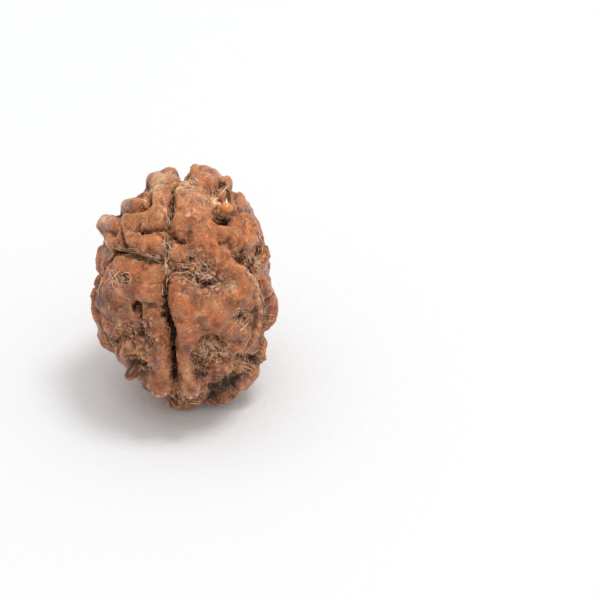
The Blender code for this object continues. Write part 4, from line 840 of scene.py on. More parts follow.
# The parts of their clouds of noise in which pores, cracks and knots show
PORE_AREAS = (-0.2, 0.3)
CRACK_AREAS = (-0.2, 0.3)
KNOT_AREAS = (-0.5, 0.3)

# The cords of fibre in the furrows: their width as a share of their length, and their height
CORD_SHARE = 0.16
CORD_HEIGHT = 0.14

# How far, in millimetres, noise shifts the cords and the knots
CORD_WAVER = 0.12
KNOT_WAVER = 0.25


def seen_share(points):
    """One where the front face shows the place, nought behind."""
    outward = points / np.linalg.norm(points, axis=1)[:, None]
    return ramp(outward @ OUT, *SEEN_EDGE)


def near_places(points, places, reach=1.0):
    """One in the middle of the nearest of these places of the front face, nought outside them all."""
    across = points @ ACROSS
    up = points @ UP
    nearness = np.zeros(len(points))
    for place_across, place_up, radius in places:
        distance = np.hypot(across - place_across, up - place_up)
        fade = ramp(distance, radius * PLACE_FULL, radius * PLACE_END * reach)
        nearness = np.maximum(nearness, 1 - fade)
    return nearness * seen_share(points)


def roughened(rule, measure, shift):
    """How granular one rule makes the wood, where its measure, shifted, is high enough."""
    strength, weight, start, end = rule
    return strength * ramp(measure + weight * shift, start, end)


def find_texture(net, points, reach, dish_cut, pit_cut):
    """How hollow, creased, granular, fibrous and smooth the wood is at each point."""
    hollow = net.even(reach, HOLLOW_WIDTH) - reach
    crease = net.even(reach, CREASE_WIDTH) - reach
    patches = cloud(points, "patches")
    granular = near_places(points, GRANULAR) * roughened(GRANULAR_PLACES, patches, hollow)
    granular = np.maximum(granular, roughened(GRANULAR_HOLLOWS, hollow, patches))
    granular = np.maximum(granular, roughened(GRANULAR_DISHES, dish_cut, patches))
    granular = np.maximum(granular, BLACK_ROUGHNESS * near_places(points, TINTS["black"], BLACK_REACH))
    smooth = near_places(points, SMOOTH)
    granular = net.even(np.clip(granular * (1 - SMOOTHING * smooth), 0, 1), GRAIN_MASK_WIDTH)
    fibrous = np.maximum(ramp(pit_cut, *PIT_FIBRES), ramp(hollow, *HOLLOW_FIBRES))
    fibrous = net.even(fibrous, FIBRE_MASK_WIDTH) * (1 - BARENESS * near_places(points, BARE))
    return hollow, crease, granular, fibrous, smooth


def relief_of(kind, granular, smooth):
    height, plain, more, less = RELIEF[kind]
    return height * np.clip(plain + more * granular - less * smooth, 0, 1)


def fine_heights(points, granular, fibrous, smooth):
    """How far the fine surface stands above the formed wood, in millimetres."""
    heights = relief_of("grain", granular, smooth) * (1 - cells(points, "grain") / GRAIN_RADIUS)
    pores = 1 - ramp(cells(points, "pores"), *PORE_RADII)
    pores *= ramp(cloud(points, "pore areas"), *PORE_AREAS)
    heights -= relief_of("pores", granular, smooth) * pores
    heights += relief_of("wrinkles", granular, smooth) * cloud(points, "wrinkles")
    heights += relief_of("skin", granular, smooth) * cloud(points, "skin")
    wavering = points + KNOT_WAVER * cloud(points, "knot waver")[:, None]
    knots = (KNOT_RADIUS - cells(wavering, "knots")) * ramp(cloud(points, "knot areas"), *KNOT_AREAS)
    heights += relief_of("knots", granular, smooth) * knots
    cracks = 1 - ramp(np.abs(cloud(points, "cracks")), 0.0, CRACK_WIDTH)
    cracks *= ramp(cloud(points, "crack areas"), *CRACK_AREAS)
    heights -= relief_of("cracks", granular, smooth) * cracks
    lengthened = points + AXIS * ((points @ AXIS) * (CORD_SHARE - 1))[:, None]
    lengthened += CORD_WAVER * cloud(points, "cord waver")[:, None]
    return heights + CORD_HEIGHT * cloud(lengthened, "cords") * fibrous


def tone(red, green, blue):
    """A colour as a screen shows it, each part from 0 to 255, in the renderer's own values."""
    parts = [part / 255 for part in (red, green, blue)]
    return tuple(part / 12.92 if part < 0.04045 else ((part + 0.055) / 1.055) ** 2.4 for part in parts)


# The colours of the stain and of the painted light and shade: the wood is russet where no other is laid
# on
RUSSET = tone(168, 98, 61)
COLOURS = {
    "orange": tone(198, 115, 67), "ochre": tone(162, 118, 66), "tan": tone(220, 158, 112),
    "pink": tone(190, 118, 94), "rust": tone(124, 60, 38), "umber": tone(74, 42, 32),
    "plum": tone(108, 72, 68), "violet": tone(128, 96, 100), "cream": tone(240, 196, 152),
    "black": tone(18, 10, 9),
}

# Where the front face has a colour laid on: across, up and radius. Some lists are partly painted light
# and shade, as noted at each
TINTS = {
    "violet": [(-4.3, 5.9, 0.48), (0.8, 3.1, 0.64), (2, 2, 1.27), (2.8, 0.6, 0.85), (1.3, 0.7, 0.64),
        (3.2, -6.5, 1.06), (2.1, -6.9, 0.74), (8.7, -2, 0.64), (8.5, -3.4, 0.53), (6, 3.6, 0.74),
        (-2.2, -0.2, 0.28), (-2.2, -1.8, 0.28), (-2.2, -3.4, 0.32), (-1.9, -4.7, 0.34),
        (-1.7, -5.9, 0.32), (-5.1, -3.6, 0.53), (-7, 4.2, 0.42), (-6.3, 3.8, 0.32), (5.9, -2.9, 0.64),
        (-3, -7.8, 0.53), (-3.6, -6.8, 0.42)],
    "plum": [(0.1, -0.2, 0.8), (1.4, -0.3, 0.9), (2.8, 0, 0.9), (-5.7, -8.9, 0.7), (6.5, -9.5, 0.95),
        (5.4, -10.4, 0.53), (-4.7, -10.4, 0.64), (-9.3, 0.5, 0.37), (1, -6.8, 0.64), (7.7, -8.2, 0.53),
        (-4, -1.3, 0.42)],
    # Cream: the rings round the two feet are painted rim highlight; elsewhere it makes pale patches
    "cream": [(-3.9, 6.1, 0.5), (7.6, 3.2, 0.6), (3, -5.9, 0.7), (2, -6.6, 0.6), (-3.6, 9.4, 0.4),
        (-3.7, -9.5, 0.2), (-3.75, -10.3, 0.2), (-3.4, -11, 0.2), (-2.7, -11.35, 0.2),
        (-1.9, -11.2, 0.2), (-1.35, -10.6, 0.2), (-1.2, -9.8, 0.2), (1.7, -9.6, 0.2),
        (1.75, -10.5, 0.2), (1.4, -11.2, 0.2), (0.7, -11.6, 0.2), (0, -11.2, 0.2), (-0.4, -10.4, 0.2),
        (3, 8.8, 1), (0.3, 10.8, 1.1), (-2.5, 11, 1), (-3.6, 9.2, 0.7), (1.2, 10.9, 0.5),
        (3.4, 9.6, 0.4), (-3.2, 10.1, 0.5), (2.1, 9.3, 0.35), (-0.8, 10.2, 0.35), (5, 0.3, 0.6),
        (-8.4, 7.2, 0.4)],
    # Umber: painted shade in the creases round the feet, under the arch and down the left edge, which is
    # turned from the lamp; elsewhere it darkens the wood in patches
    "umber": [(-4.15, -9, 0.4), (-4.3, -9.6, 0.45), (-4.3, -10.2, 0.45), (-4.1, -10.8, 0.4),
        (-3.7, -11.4, 0.35), (1.7, -0.1, 0.6), (-8.6, 0.6, 0.8), (-8.2, 1, 0.8), (-8.5, -1.2, 1.3),
        (-3.6, -4.5, 0.7), (2.2, -4.2, 0.7), (0.3, -6.4, 0.7), (0.2, -5.2, 0.6), (-8.7, -1.4, 1),
        (-5.2, -8.1, 0.6), (1.5, 1.4, 0.8), (-4.3, -8.4, 0.5), (-5.8, -9, 0.8), (-9.1, -1.5, 0.7),
        (-3.9, -8.9, 0.35), (-3.9, -10, 0.35), (-3.6, -10.9, 0.35), (-2.8, -11.6, 0.35),
        (-1.8, -11.4, 0.35), (1.9, -9.2, 0.35), (2, -10.3, 0.35), (1.6, -11.4, 0.35),
        (0.6, -11.9, 0.35)],
    # Black: painted shadow in the deepest furrow, slits and pits
    "black": [(-2.1, -0.8, 0.28), (-2.05, -2, 0.3), (-1.9, -2.7, 0.3), (-1.75, -3.3, 0.3),
        (-1.5, -4, 0.3), (-1.3, -4.6, 0.3), (-1.25, -5.3, 0.3), (-1.2, -6, 0.3), (-1.2, -6.7, 0.3),
        (-1.2, -7.3, 0.3), (-1.1, -8, 0.3), (-1, -8.6, 0.25), (-1, -9.2, 0.2), (-5.1, -1.8, 0.42),
        (-5.1, -2.2, 0.38), (-4.8, -3, 0.14), (-4.8, -3.6, 0.13), (-4.8, -4.2, 0.13),
        (-4.8, -4.9, 0.13), (-4.8, -5.3, 0.15), (2.9, -11.4, 0.85), (3.3, -10.7, 1), (4, -10.2, 1.1),
        (4.8, -9.9, 1), (5.4, -9.6, 0.8), (-5.8, -7.6, 0.3), (-5.3, -7.65, 0.35), (-4.7, -7.8, 0.35),
        (-4.2, -8, 0.3), (-3.8, -8.3, 0.2), (-7.2, 4.2, 0.21), (-6.8, 4, 0.23), (-6.1, 3.8, 0.23),
        (-5.6, 3.6, 0.21), (-4.9, 3.4, 0.17), (-4.5, 5.8, 0.2), (-2.3, 6, 0.17), (3.6, 7.3, 0.42),
        (4.1, 7.1, 0.53), (4.7, 7.1, 0.42), (5.9, 3.8, 0.38), (6.3, 3.2, 0.36), (7.2, 2.2, 0.21),
        (7.5, 1.7, 0.19), (5.8, -2.8, 0.32), (6.3, -3.1, 0.21), (8.4, -1.6, 0.21), (8.5, -2.3, 0.28),
        (8.4, -3.1, 0.25), (8.3, -3.7, 0.17), (5.5, -7.4, 0.17), (6, -7.2, 0.19), (6.5, -7, 0.15),
        (6.9, -7.7, 0.13), (7.4, -7.6, 0.16), (8, -7.5, 0.13), (1.9, -5, 0.13), (2.6, -5.1, 0.17),
        (3.5, -5.3, 0.28), (4.2, -5.2, 0.13), (-5.6, -5.3, 0.19), (-6.4, -5.4, 0.17), (2, -9.1, 0.32),
        (2.3, -8.9, 0.21), (2.2, 0.3, 0.32), (2.8, 0.5, 0.25), (1.6, 0.8, 0.21), (3.4, 0.8, 0.19),
        (2, 2.2, 0.19), (0.8, 3.1, 0.23), (0.6, 1.4, 0.17), (4.3, 11, 0.19), (4.8, 9.3, 0.21),
        (-2.3, -2.6, 0.17), (-6.9, -5.5, 0.15), (-7.4, -5.9, 0.13), (-1.3, -11.7, 0.28),
        (-0.8, -12.3, 0.21), (0, -11.4, 0.21)],
    "orange": [(5.7, 4.3, 1.1), (3.3, 4.6, 1), (5.1, 7, 1.1), (2.4, 11.6, 1.6), (-5.6, 4.9, 0.9),
        (-3.7, 4.5, 1), (-6.4, 6.4, 0.8), (1.5, 8, 1.2), (2.8, 6.4, 1.2), (6.4, 5.6, 1.5),
        (-3.1, 5.1, 0.85), (-2.8, 4.3, 0.53), (-5, 6.6, 0.53), (-5.8, 5.1, 0.42), (-4, -0.8, 0.53),
        (-3, -0.7, 0.42), (-4.9, -0.8, 0.42), (4.8, 2.8, 0.64), (5.5, 1.9, 0.53), (9.5, -1.6, 0.36),
        (9.6, -2.3, 0.25), (4.5, 4.8, 0.85), (6.7, 7, 0.53), (-2.5, -10.2, 0.53), (0.3, -9.8, 0.42),
        (-0.6, 6.7, 0.53), (1.3, 6.3, 0.64), (-3.6, 0.5, 0.64), (-2, -10.7, 0.32)],
    "ochre": [(-2.8, 8.1, 0.6), (-0.9, -10.6, 0.5), (-6, 7.3, 0.42), (-5.2, 7.4, 0.42), (-4.5, 7, 0.42),
        (-4, 9.9, 0.28), (-7, 6.3, 0.32), (2.2, -5.5, 0.42), (3.2, -5.6, 0.32), (5.9, -8.3, 0.64),
        (7, -8.6, 0.53), (-4.5, -5.3, 0.74), (7.4, 2.8, 0.64), (7.6, 2.1, 0.53), (1.4, -12.2, 0.42),
        (8.1, -4.8, 0.42), (-5.9, 4.3, 0.32), (-3.4, 7.7, 0.53), (-6.6, -4.5, 0.53), (5.1, -4.6, 0.42),
        (-1.4, 11.3, 0.53)],
    "pink": [(0.7, -10.3, 0.9), (9, -2.5, 0.8), (4.7, 11.3, 0.48), (5.5, 9.9, 0.48), (-9.3, -0.3, 0.32),
        (4.5, 10.7, 0.32), (0.8, -4.5, 0.64), (-5, -3.4, 0.42), (-6.1, -3.4, 0.42), (-2, 8, 0.42),
        (-3.4, 10.8, 0.32), (8.9, -4.5, 0.42), (-7.5, 5.1, 0.53), (2.4, -4.5, 0.53)],
    # Tan: at the two necks above the feet it is painted light that lifts the shade of their dents;
    # elsewhere it makes paler patches
    "tan": [(-6.6, -4, 0.8), (-4.2, 6.3, 0.9), (7.6, 3.1, 0.8), (5.7, 4.4, 0.6), (-6, -7.4, 0.4),
        (-5.6, -7.3, 0.4), (-5.2, -7.2, 0.4), (-4.8, -7.3, 0.4), (-4.4, -7.5, 0.4), (-4, -7.7, 0.4),
        (-3.6, -8.1, 0.4), (-3.3, -8.4, 0.4), (5.8, 2.3, 0.4), (6.3, 1.7, 0.4), (6.9, 1.2, 0.4),
        (7.2, 0.6, 0.4), (7.4, 0, 0.4), (7.5, -0.6, 0.4), (7.7, -1.2, 0.4), (7.9, -1.8, 0.4),
        (8.1, -2.5, 0.4), (8.1, -3.2, 0.4), (7.9, -3.9, 0.4), (7.6, -4.7, 0.4), (7.2, -5.5, 0.4),
        (6.8, -6.1, 0.4), (6.1, -6.8, 0.4), (5.4, -7.3, 0.4), (5, -8, 0.4), (4.6, -8.7, 0.4),
        (4, -9.2, 0.4), (3.4, -9.9, 0.4), (2.9, -10.5, 0.4), (2.3, -11.1, 0.4), (-4.3, 6.6, 0.8),
        (-2.1, -8.8, 1), (0.6, -9, 1), (-3.6, 9.3, 1.1), (4.8, 0.1, 1.2), (3, 8.8, 0.9), (0.3, 10.8, 1),
        (-2.5, 11, 1), (-4.3, 6.4, 0.7), (0.6, 10.7, 1.1), (1.5, 10.4, 0.9), (-0.2, 11, 0.42),
        (-1.7, 12, 0.64), (-8.2, 6.8, 0.64), (-8.5, 7.2, 0.42), (-5.4, 9, 0.64), (-6.3, 8.9, 0.42),
        (1.7, -2.5, 1.27), (3.3, -1.8, 0.95), (2.2, -3.6, 0.85), (-2.5, -9.5, 0.64), (0.2, -0.7, 0.74),
        (3.4, 2.8, 0.53), (-7.8, -1.3, 0.85), (-6.8, -0.2, 0.64), (-8.5, -2.3, 0.53), (-5.9, -6, 0.64),
        (-4.9, -6.5, 0.64), (-3.9, -6.8, 0.53), (7.8, 4.5, 0.53), (8.3, 3.5, 0.42), (2, -11.6, 0.53)],
    # Rust: painted shade down the left edge, which is turned from the lamp, and beside the left foot;
    # elsewhere it is red-brown stain
    "rust": [(-5.7, 5.6, 0.8), (-3.4, 4, 0.7), (-2.7, 8, 0.5), (-4.9, 4.6, 0.8), (-5.6, -0.2, 1.2),
        (-7.6, -1.2, 1.2), (-5.3, -9.6, 0.9), (-4.6, -10.4, 1), (-3.8, -11.3, 0.9), (-0.2, -11.7, 0.8),
        (0.9, -12.5, 0.8), (2.2, -12.2, 0.8), (3.6, -11.7, 0.8), (1.5, -1.8, 0.9), (2.2, -4.4, 1),
        (-9, -1, 1), (-8.6, -1.5, 1.6), (-8.3, 0.3, 1.3), (-8, -2.9, 1.3), (1.9, -3.4, 1),
        (-3.6, -4.4, 0.9), (-2.8, -6.6, 0.7), (0.3, -6.3, 0.8), (-2.9, -11, 1), (-6.1, 5.5, 0.8),
        (-8.4, 6.2, 0.9), (-5.6, 8.8, 0.8), (2.5, 12.1, 0.9), (-5.7, -8.8, 0.9), (8.6, -3.6, 0.9),
        (-6.3, -6.8, 0.8), (-2.5, -10.4, 1.2), (0.7, -10.6, 0.9), (-2.4, -5.6, 0.9), (-0.3, -6.4, 0.8),
        (-6.8, -2.6, 1.3), (3.4, -4.2, 1.3), (6, -1.6, 0.8), (-5.2, 4.2, 0.6), (4.8, -1.3, 0.74),
        (3.8, -4.5, 0.95), (5.4, -5.5, 0.74), (6.5, -5.1, 0.53), (2.2, -4.2, 0.64), (-8.9, -3.9, 0.64),
        (-8.1, -5, 0.64), (-7, -6.8, 0.36), (-9.2, 0.6, 0.32), (-1.7, -11, 0.42), (-0.6, -11.9, 0.53),
        (5.1, 0.3, 0.64), (-7.6, 2.1, 0.53), (-4, 2.1, 0.64), (4, -8.9, 0.53), (-0.6, -6, 0.53),
        (-0.4, -3.4, 0.53), (7.6, 7.7, 0.42), (8.3, 2.8, 0.32)],
}

# How strongly each is laid on, in this order, and how the small patches of stain break its edge
TINT_STRENGTHS = {"tan": 0.6, "ochre": 0.6, "orange": 0.7, "pink": 0.6, "rust": 0.75, "plum": 0.7,
                  "violet": 0.8, "umber": 0.75, "cream": 0.8}
TINT_NEARNESS = 0.6
TINT_EDGE = (0.0, 0.6)

# The black of the deepest furrow, slits and pits is painted shadow, laid on last, a little less where
# the wood there isn't hollow
BLACK_STRENGTH = 0.97
BLACK_ON_LEVEL = 0.86
BLACK_HOLLOWS = (0.0, 0.4)

# The coats over the whole stone: some are stain, and the rest are painted light and shade, as noted
# where
# they are laid. For each: its colour, its strength, the values of what it follows between which it sets
# in, how far the small patches of stain shift those, and how much of it smooth wood is spared
COATS = {
    "painted light on crown": ("tan", 0.4, 3.0, 12.0, 0.0, 0.0),
    "painted shade at foot": ("rust", 0.38, -2.0, 6.0, 0.0, 0.0),
    "warm areas": ("orange", 0.55, 0.0, 0.6, 0.0, 0.0),
    "red areas": ("rust", 0.5, 0.05, 0.6, 0.0, 0.0),
    "painted light on rises": ("tan", 0.25, 0.25, 0.8, 0.25, 0.0),
    "ochre spots": ("ochre", 0.45, 0.15, 0.7, 0.0, 0.0),
    "pink areas": ("pink", 0.35, 0.2, 0.6, 0.0, 0.0),
    "painted hollow shade": ("umber", 0.45, 0.1, 0.75, 0.15, 0.7),
    "dark grains": ("umber", 0.6, -0.5, 0.4, 0.0, 0.0),
    "plum grains": ("plum", 0.5, -0.3, 0.4, 0.0, 0.0),
    "violet grains": ("violet", 0.7, 0.05, 0.4, 0.0, 0.0),
    "creases": ("umber", 0.8, 0.03, 0.16, 0.0, 0.0),
    "painted edge highlights": ("tan", 0.6, 0.01, 0.07, 0.0, 0.0),
    "painted edge glints": ("cream", 0.4, 0.05, 0.12, 0.0, 0.0),
    "painted pore shade": ("umber", 0.8, 0.01, 0.08, 0.0, 0.65),
    "painted pit shade": ("black", 0.75, 0.45, 1.2, 0.0, 0.0),
}

# The orange of smooth wood, the hollows that are deep enough for painted black shadow, and how much of
# the painted shade is kept off the hollows that stay pale
RUBBED_STRENGTH = 0.35
DEEP_HOLLOWS = (0.1, 0.7)
PALENESS = 0.75


class StainAndShade:
    """The colour of the wood at each point, laid on in coats of stain and of painted light and shade."""

    def __init__(self, points, smooth):
        self.colours = np.tile(np.array(RUSSET), (len(points), 1))
        self.small = cloud(points, "small stain")
        self.smooth = smooth

    def paint(self, colour, amount):
        self.colours += (np.array(COLOURS[colour]) - self.colours) * np.clip(amount, 0, 1)[:, None]

    def coat(self, name, follows, share=1.0):
        """Lay a coat on this share of the wood, where what it follows is high."""
        colour, strength, start, end, shift, spared = COATS[name]
        amount = strength * ramp(follows + shift * self.small, start, end)
        self.paint(colour, amount * (1 - spared * self.smooth) * share)


def stone_colours(points, hollow, crease, pit_cut, granular, relief, smooth):
    """The stain of the wood, warm where it stands proud and dark and purplish in its hollows, with
    painted light on its crown, rises and edges and painted shade at its foot and in its hollows,
    creases, pores and pits.
    """
    stain_and_shade = StainAndShade(points, smooth)
    height = points @ UP
    broad = cloud(points, "broad stain")
    shade = 1 - PALENESS * near_places(points, PALE)
    # Painted light: the wood is painted paler towards the crown, where the lamp overhead lights the top
    stain_and_shade.coat("painted light on crown", height)
    # Painted shade: the wood is painted darker towards the foot, away from the lamp overhead
    stain_and_shade.coat("painted shade at foot", -height)
    stain_and_shade.paint("orange", RUBBED_STRENGTH * smooth)
    stain_and_shade.coat("warm areas", broad)
    stain_and_shade.coat("red areas", -broad)
    # Painted highlight: the wood is painted paler where it stands proud of what is round it
    stain_and_shade.coat("painted light on rises", -hollow)
    stain_and_shade.coat("ochre spots", stain_and_shade.small)
    stain_and_shade.coat("pink areas", cloud(points, "pink areas"))
    # Painted shade: umber laid into the hollows, less on smooth wood and where the hollows stay pale
    stain_and_shade.coat("painted hollow shade", hollow, shade)
    stain_and_shade.coat("dark grains", stain_and_shade.small, granular)
    stain_and_shade.coat("plum grains", -stain_and_shade.small, granular)
    stain_and_shade.coat("violet grains", cloud(points, "violet areas"), (1 - seen_share(points)) * granular)
    # The tints, among them painted shade in the umber and rust and painted highlight in the cream and
    # tan
    for name, strength in TINT_STRENGTHS.items():
        nearness = near_places(points, TINTS[name])
        broken = ramp(stain_and_shade.small + TINT_NEARNESS * nearness, *TINT_EDGE)
        stain_and_shade.paint(name, strength * nearness * broken)
    # Painted shade: umber laid into the creases
    stain_and_shade.coat("creases", crease, shade)
    # Painted highlights: tan, then cream on the highest, laid on the fine edges that stand up
    stain_and_shade.coat("painted edge highlights", relief)
    stain_and_shade.coat("painted edge glints", relief)
    # Painted shade: umber laid into the fine dips of the surface
    stain_and_shade.coat("painted pore shade", -relief)
    # Painted shade: black laid into the pits cut deepest
    stain_and_shade.coat("painted pit shade", pit_cut, ramp(hollow, *DEEP_HOLLOWS) * shade)
    # Painted shadow: black laid last into the deepest furrow, slits and pits
    blackness = BLACK_ON_LEVEL + (1 - BLACK_ON_LEVEL) * ramp(hollow, *BLACK_HOLLOWS)
    stain_and_shade.paint("black", BLACK_STRENGTH * near_places(points, TINTS["black"]) * blackness)
    return stain_and_shade.colours


def add(tree, kind, inputs=None, **settings):
    """A new node. Its inputs are given by name or number, as values or as other nodes' outputs."""
    node = tree.nodes.new(kind)
    for name, value in settings.items():
        setattr(node, name, value)
    for key, value in (inputs or {}).items():
        live = [socket for socket in node.inputs if socket.enabled and socket.name == key]
        socket = live[0] if live else node.inputs[key]
        if isinstance(value, bpy.types.NodeSocket):
            tree.links.new(value, socket)
        else:
            socket.default_value = value
    return node


def first_output(node):
    return next(socket for socket in node.outputs if socket.enabled)


def noise_of(tree, size, detail, roughness):
    """Noise from nought to one over Object coordinates, with features of this size in millimetres."""
    place = add(tree, "ShaderNodeTexCoord").outputs["Object"]
    inputs = {"Vector": place, "Scale": 1 / (size * MM), "Detail": detail, "Roughness": roughness}
    return add(tree, "ShaderNodeTexNoise", inputs).outputs["Fac"]


def spread(tree, value, low, high, new_low, new_high):
    limits = {"From Min": low, "From Max": high, "To Min": new_low, "To Max": new_high}
    return add(tree, "ShaderNodeMapRange", {"Value": value, **limits}).outputs["Result"]


def patches_of(tree, size, detail, roughness, low, high, new_low, new_high):
    """That noise, with its values from low to high spread over the new ones."""
    return spread(tree, noise_of(tree, size, detail, roughness), low, high, new_low, new_high)


def combine(tree, operation, first, second):
    return add(tree, "ShaderNodeMath", {0: first, 1: second}, operation=operation).outputs["Value"]


def mixed(tree, blend_type, factor, first, second):
    """Two colours mixed, each another node's output or given by its three parts."""
    inputs = {"Factor": factor}
    for side, colour in (("A", first), ("B", second)):
        inputs[side] = (*colour, 1.0) if isinstance(colour, tuple) else colour
    return first_output(add(tree, "ShaderNodeMix", inputs, data_type="RGBA", blend_type=blend_type))


def new_material(name, finish):
    """A material whose shader has these values, and its node tree and its shader's inputs."""
    material = bpy.data.materials.new(name)
    material.use_nodes = True
    sockets = material.node_tree.nodes["Principled BSDF"].inputs
    for title, value in finish.items():
        sockets[title].default_value = value
    return material, material.node_tree, sockets


def attribute(tree, name, output="Fac"):
    return add(tree, "ShaderNodeAttribute", attribute_name=name).outputs[output]


# The noise in the wood's finish. For each: the size of its features in millimetres, its detail and its
# roughness, the part of it that is used, and what that part is spread over
FILM = (1.5, 4.0, 0.62, 0.49, 0.58, 0.0, 1.0)
MOTTLE = (0.9, 4.0, 0.65, 0.3, 0.7, 0.52, 1.48)
GRAIN = (0.2, 3.0, 0.65, 0.3, 0.7, 0.62, 1.38)
FLECKS = (0.2, 2.0, 0.6, 0.58, 0.68, 0.0, 1.0)
PATCHY_GLOSS = (0.4, 2.0, 0.5, 0.3, 0.7, -0.06, 0.1)

# The pale film of dust and the paler flecks, and how they fade where the stain and its painted shade are
# dark
FILM_COLOUR = tone(206, 152, 112)
FILM_STRENGTH = 0.22
FLECK_COLOUR = tone(228, 184, 142)
FLECK_STRENGTHS = (0.26, 0.6)
FADING_STAIN = (0.012, 0.1)
MOTTLE_ON_SMOOTH = 0.7

# How rough smooth and granular wood are, and the film on them
SMOOTH_TO_ROUGH = (0.14, 0.62)
FILM_ROUGHNESS = 0.16

# The finest relief, which is only a bump: the noises' sizes, detail and roughness, and the depth
FINE_BUMP = (0.14, 2.0, 0.6)
BROAD_BUMP = (0.4, 2.0, 0.6)
BROAD_BUMP_SHARE = 2.0
BUMP_DEPTH = 0.06
BUMP_STRENGTHS = (0.4, 1.0)


def stone_material():
    """Dull to half-shiny wood: stained, and painted with light and shade, by its attributes; mottled,
    grained and specked by noise.
    """
    material, tree, shader = new_material("dry_stone", {
        "Specular IOR Level": 0.5, "Specular Tint": (1.0, 0.88, 0.74, 1.0), "Subsurface Weight": 0.12,
        "Subsurface Radius": (1.0, 0.45, 0.25), "Subsurface Scale": 0.3 * MM})
    # The stain, with painted light and shade laid into it
    stain_and_shade = attribute(tree, "stain_and_shade", "Color")
    rough = attribute(tree, "granular")
    film = patches_of(tree, *FILM)
    strength = spread(tree, attribute(tree, "smooth"), 0.0, 1.0, 1.0, MOTTLE_ON_SMOOTH)
    colour = mixed(tree, "MULTIPLY", strength, stain_and_shade, patches_of(tree, *MOTTLE))
    colour = mixed(tree, "MULTIPLY", strength, colour, patches_of(tree, *GRAIN))
    paleness = add(tree, "ShaderNodeRGBToBW", {"Color": stain_and_shade}).outputs["Val"]
    pale_share = spread(tree, paleness, *FADING_STAIN, 0.0, 1.0)
    film_share = combine(tree, "MULTIPLY", combine(tree, "MULTIPLY", film, FILM_STRENGTH), pale_share)
    colour = mixed(tree, "MIX", film_share, colour, FILM_COLOUR)
    fleck_strength = spread(tree, attribute(tree, "crumbly"), 0.0, 1.0, *FLECK_STRENGTHS)
    fleck_share = combine(tree, "MULTIPLY", patches_of(tree, *FLECKS), fleck_strength)
    fleck_share = combine(tree, "MULTIPLY", fleck_share, pale_share)
    colour = mixed(tree, "MIX", fleck_share, colour, FLECK_COLOUR)
    tree.links.new(colour, shader["Base Color"])
    dullness = combine(tree, "ADD", spread(tree, rough, 0.0, 1.0, *SMOOTH_TO_ROUGH),
                       combine(tree, "MULTIPLY", film, FILM_ROUGHNESS))
    tree.links.new(combine(tree, "ADD", dullness, patches_of(tree, *PATCHY_GLOSS)), shader["Roughness"])
    broad = combine(tree, "MULTIPLY", BROAD_BUMP_SHARE, noise_of(tree, *BROAD_BUMP))
    height = combine(tree, "ADD", noise_of(tree, *FINE_BUMP), broad)
    bump = add(tree, "ShaderNodeBump", {"Strength": spread(tree, rough, 0.0, 1.0, *BUMP_STRENGTHS),
                                        "Distance": BUMP_DEPTH * MM, "Height": height})
    tree.links.new(bump.outputs["Normal"], shader["Normal"])
    return material


def write_attribute(mesh, name, values):
    mesh.attributes.new(name, "FLOAT", "POINT").data.foreach_set("value", values.astype(np.float32))


def place_object(name, data):
    """A new object of the scene, at the origin."""
    piece = bpy.data.objects.new(name, data)
    bpy.context.scene.collection.objects.link(piece)
    return piece


def plain_mesh(source, name):
    """The evaluated mesh of an object, as an object of its own; the source is removed."""
    depsgraph = bpy.context.evaluated_depsgraph_get()
    evaluated = source.evaluated_get(depsgraph)
    mesh = bpy.data.meshes.new_from_object(evaluated, preserve_all_data_layers=True, depsgraph=depsgraph)
    mesh.name = name
    old_mesh = source.data
    bpy.data.objects.remove(source, do_unlink=True)
    bpy.data.meshes.remove(old_mesh)
    return place_object(name, mesh)


def point_normals(mesh):
    normals = np.empty(len(mesh.vertices) * 3, np.float32)
    mesh.vertex_normals.foreach_get("vector", normals)
    return normals.reshape(-1, 3).astype(float)


def move_points(mesh, points):
    mesh.vertices.foreach_set("co", points.ravel())
    mesh.update()


def make_stone():
    """The stone: a round mesh, each of whose points is set along its ray to where the wood ends."""
    bpy.ops.mesh.primitive_ico_sphere_add(subdivisions=RAY_DIVISIONS, radius=1.0)
    ball = bpy.context.object
    mesh = ball.data
    rays = np.empty(len(mesh.vertices) * 3)
    mesh.vertices.foreach_get("co", rays)
    rays = rays.reshape(-1, 3)
    rays /= np.linalg.norm(rays, axis=1)[:, None]
    net = Net(mesh)
    reach, dish_cut, pit_cut = shape_wood(rays, net)
    points = rays * (reach + SWELL * cloud(rays * reach[:, None], "swell"))[:, None]
    points = net.even_points(points, WALL_ROUNDS, WALL_SHARE)
    hollow, crease, granular, fibrous, smooth = find_texture(net, points, reach, dish_cut, pit_cut)
    move_points(mesh, points)
    heights = fine_heights(points, granular, fibrous, smooth)
    relief = heights - net.even(heights, RELIEF_WIDTH)
    stain_and_shade = stone_colours(points, hollow, crease, pit_cut, granular, relief, smooth)
    points += point_normals(mesh) * heights[:, None]
    points[:, 2] = np.maximum(points[:, 2], -FOOT_DEPTH)
    move_points(mesh, (points + np.array(MIDDLE)) * MM)
    # The stain, with the painted light and shade laid into it, is stored on each point
    opaque = np.hstack([stain_and_shade, np.ones((len(stain_and_shade), 1))]).astype(np.float32)
    mesh.attributes.new("stain_and_shade", "FLOAT_COLOR", "POINT").data.foreach_set("color", opaque.ravel())
    write_attribute(mesh, "granular", np.maximum(granular, DULLING * near_places(points, DULL)))
    write_attribute(mesh, "smooth", smooth)
    write_attribute(mesh, "crumbly", granular * (1 - near_places(points, TINTS["black"], BLACK_REACH)))
    write_attribute(mesh, "fibrous", fibrous * ramp(hollow, *FIBRE_DEPTHS))
    thinning = ball.modifiers.new("Fewer faces", "DECIMATE")
    thinning.ratio = FACE_SHARE
    stone = plain_mesh(ball, "stone")
    stone.data.shade_smooth()
    stone.data.materials.clear()
    stone.data.materials.append(stone_material())
    return stone


stone = make_stone()
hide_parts("seed")
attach(stone, "root")

# The strands
# Threads of the fruit's dried flesh, pale and tough, left in the furrows and hollows when the stone was
# brushed clean. They are stuck down along their length, and lie where the photograph shows them.

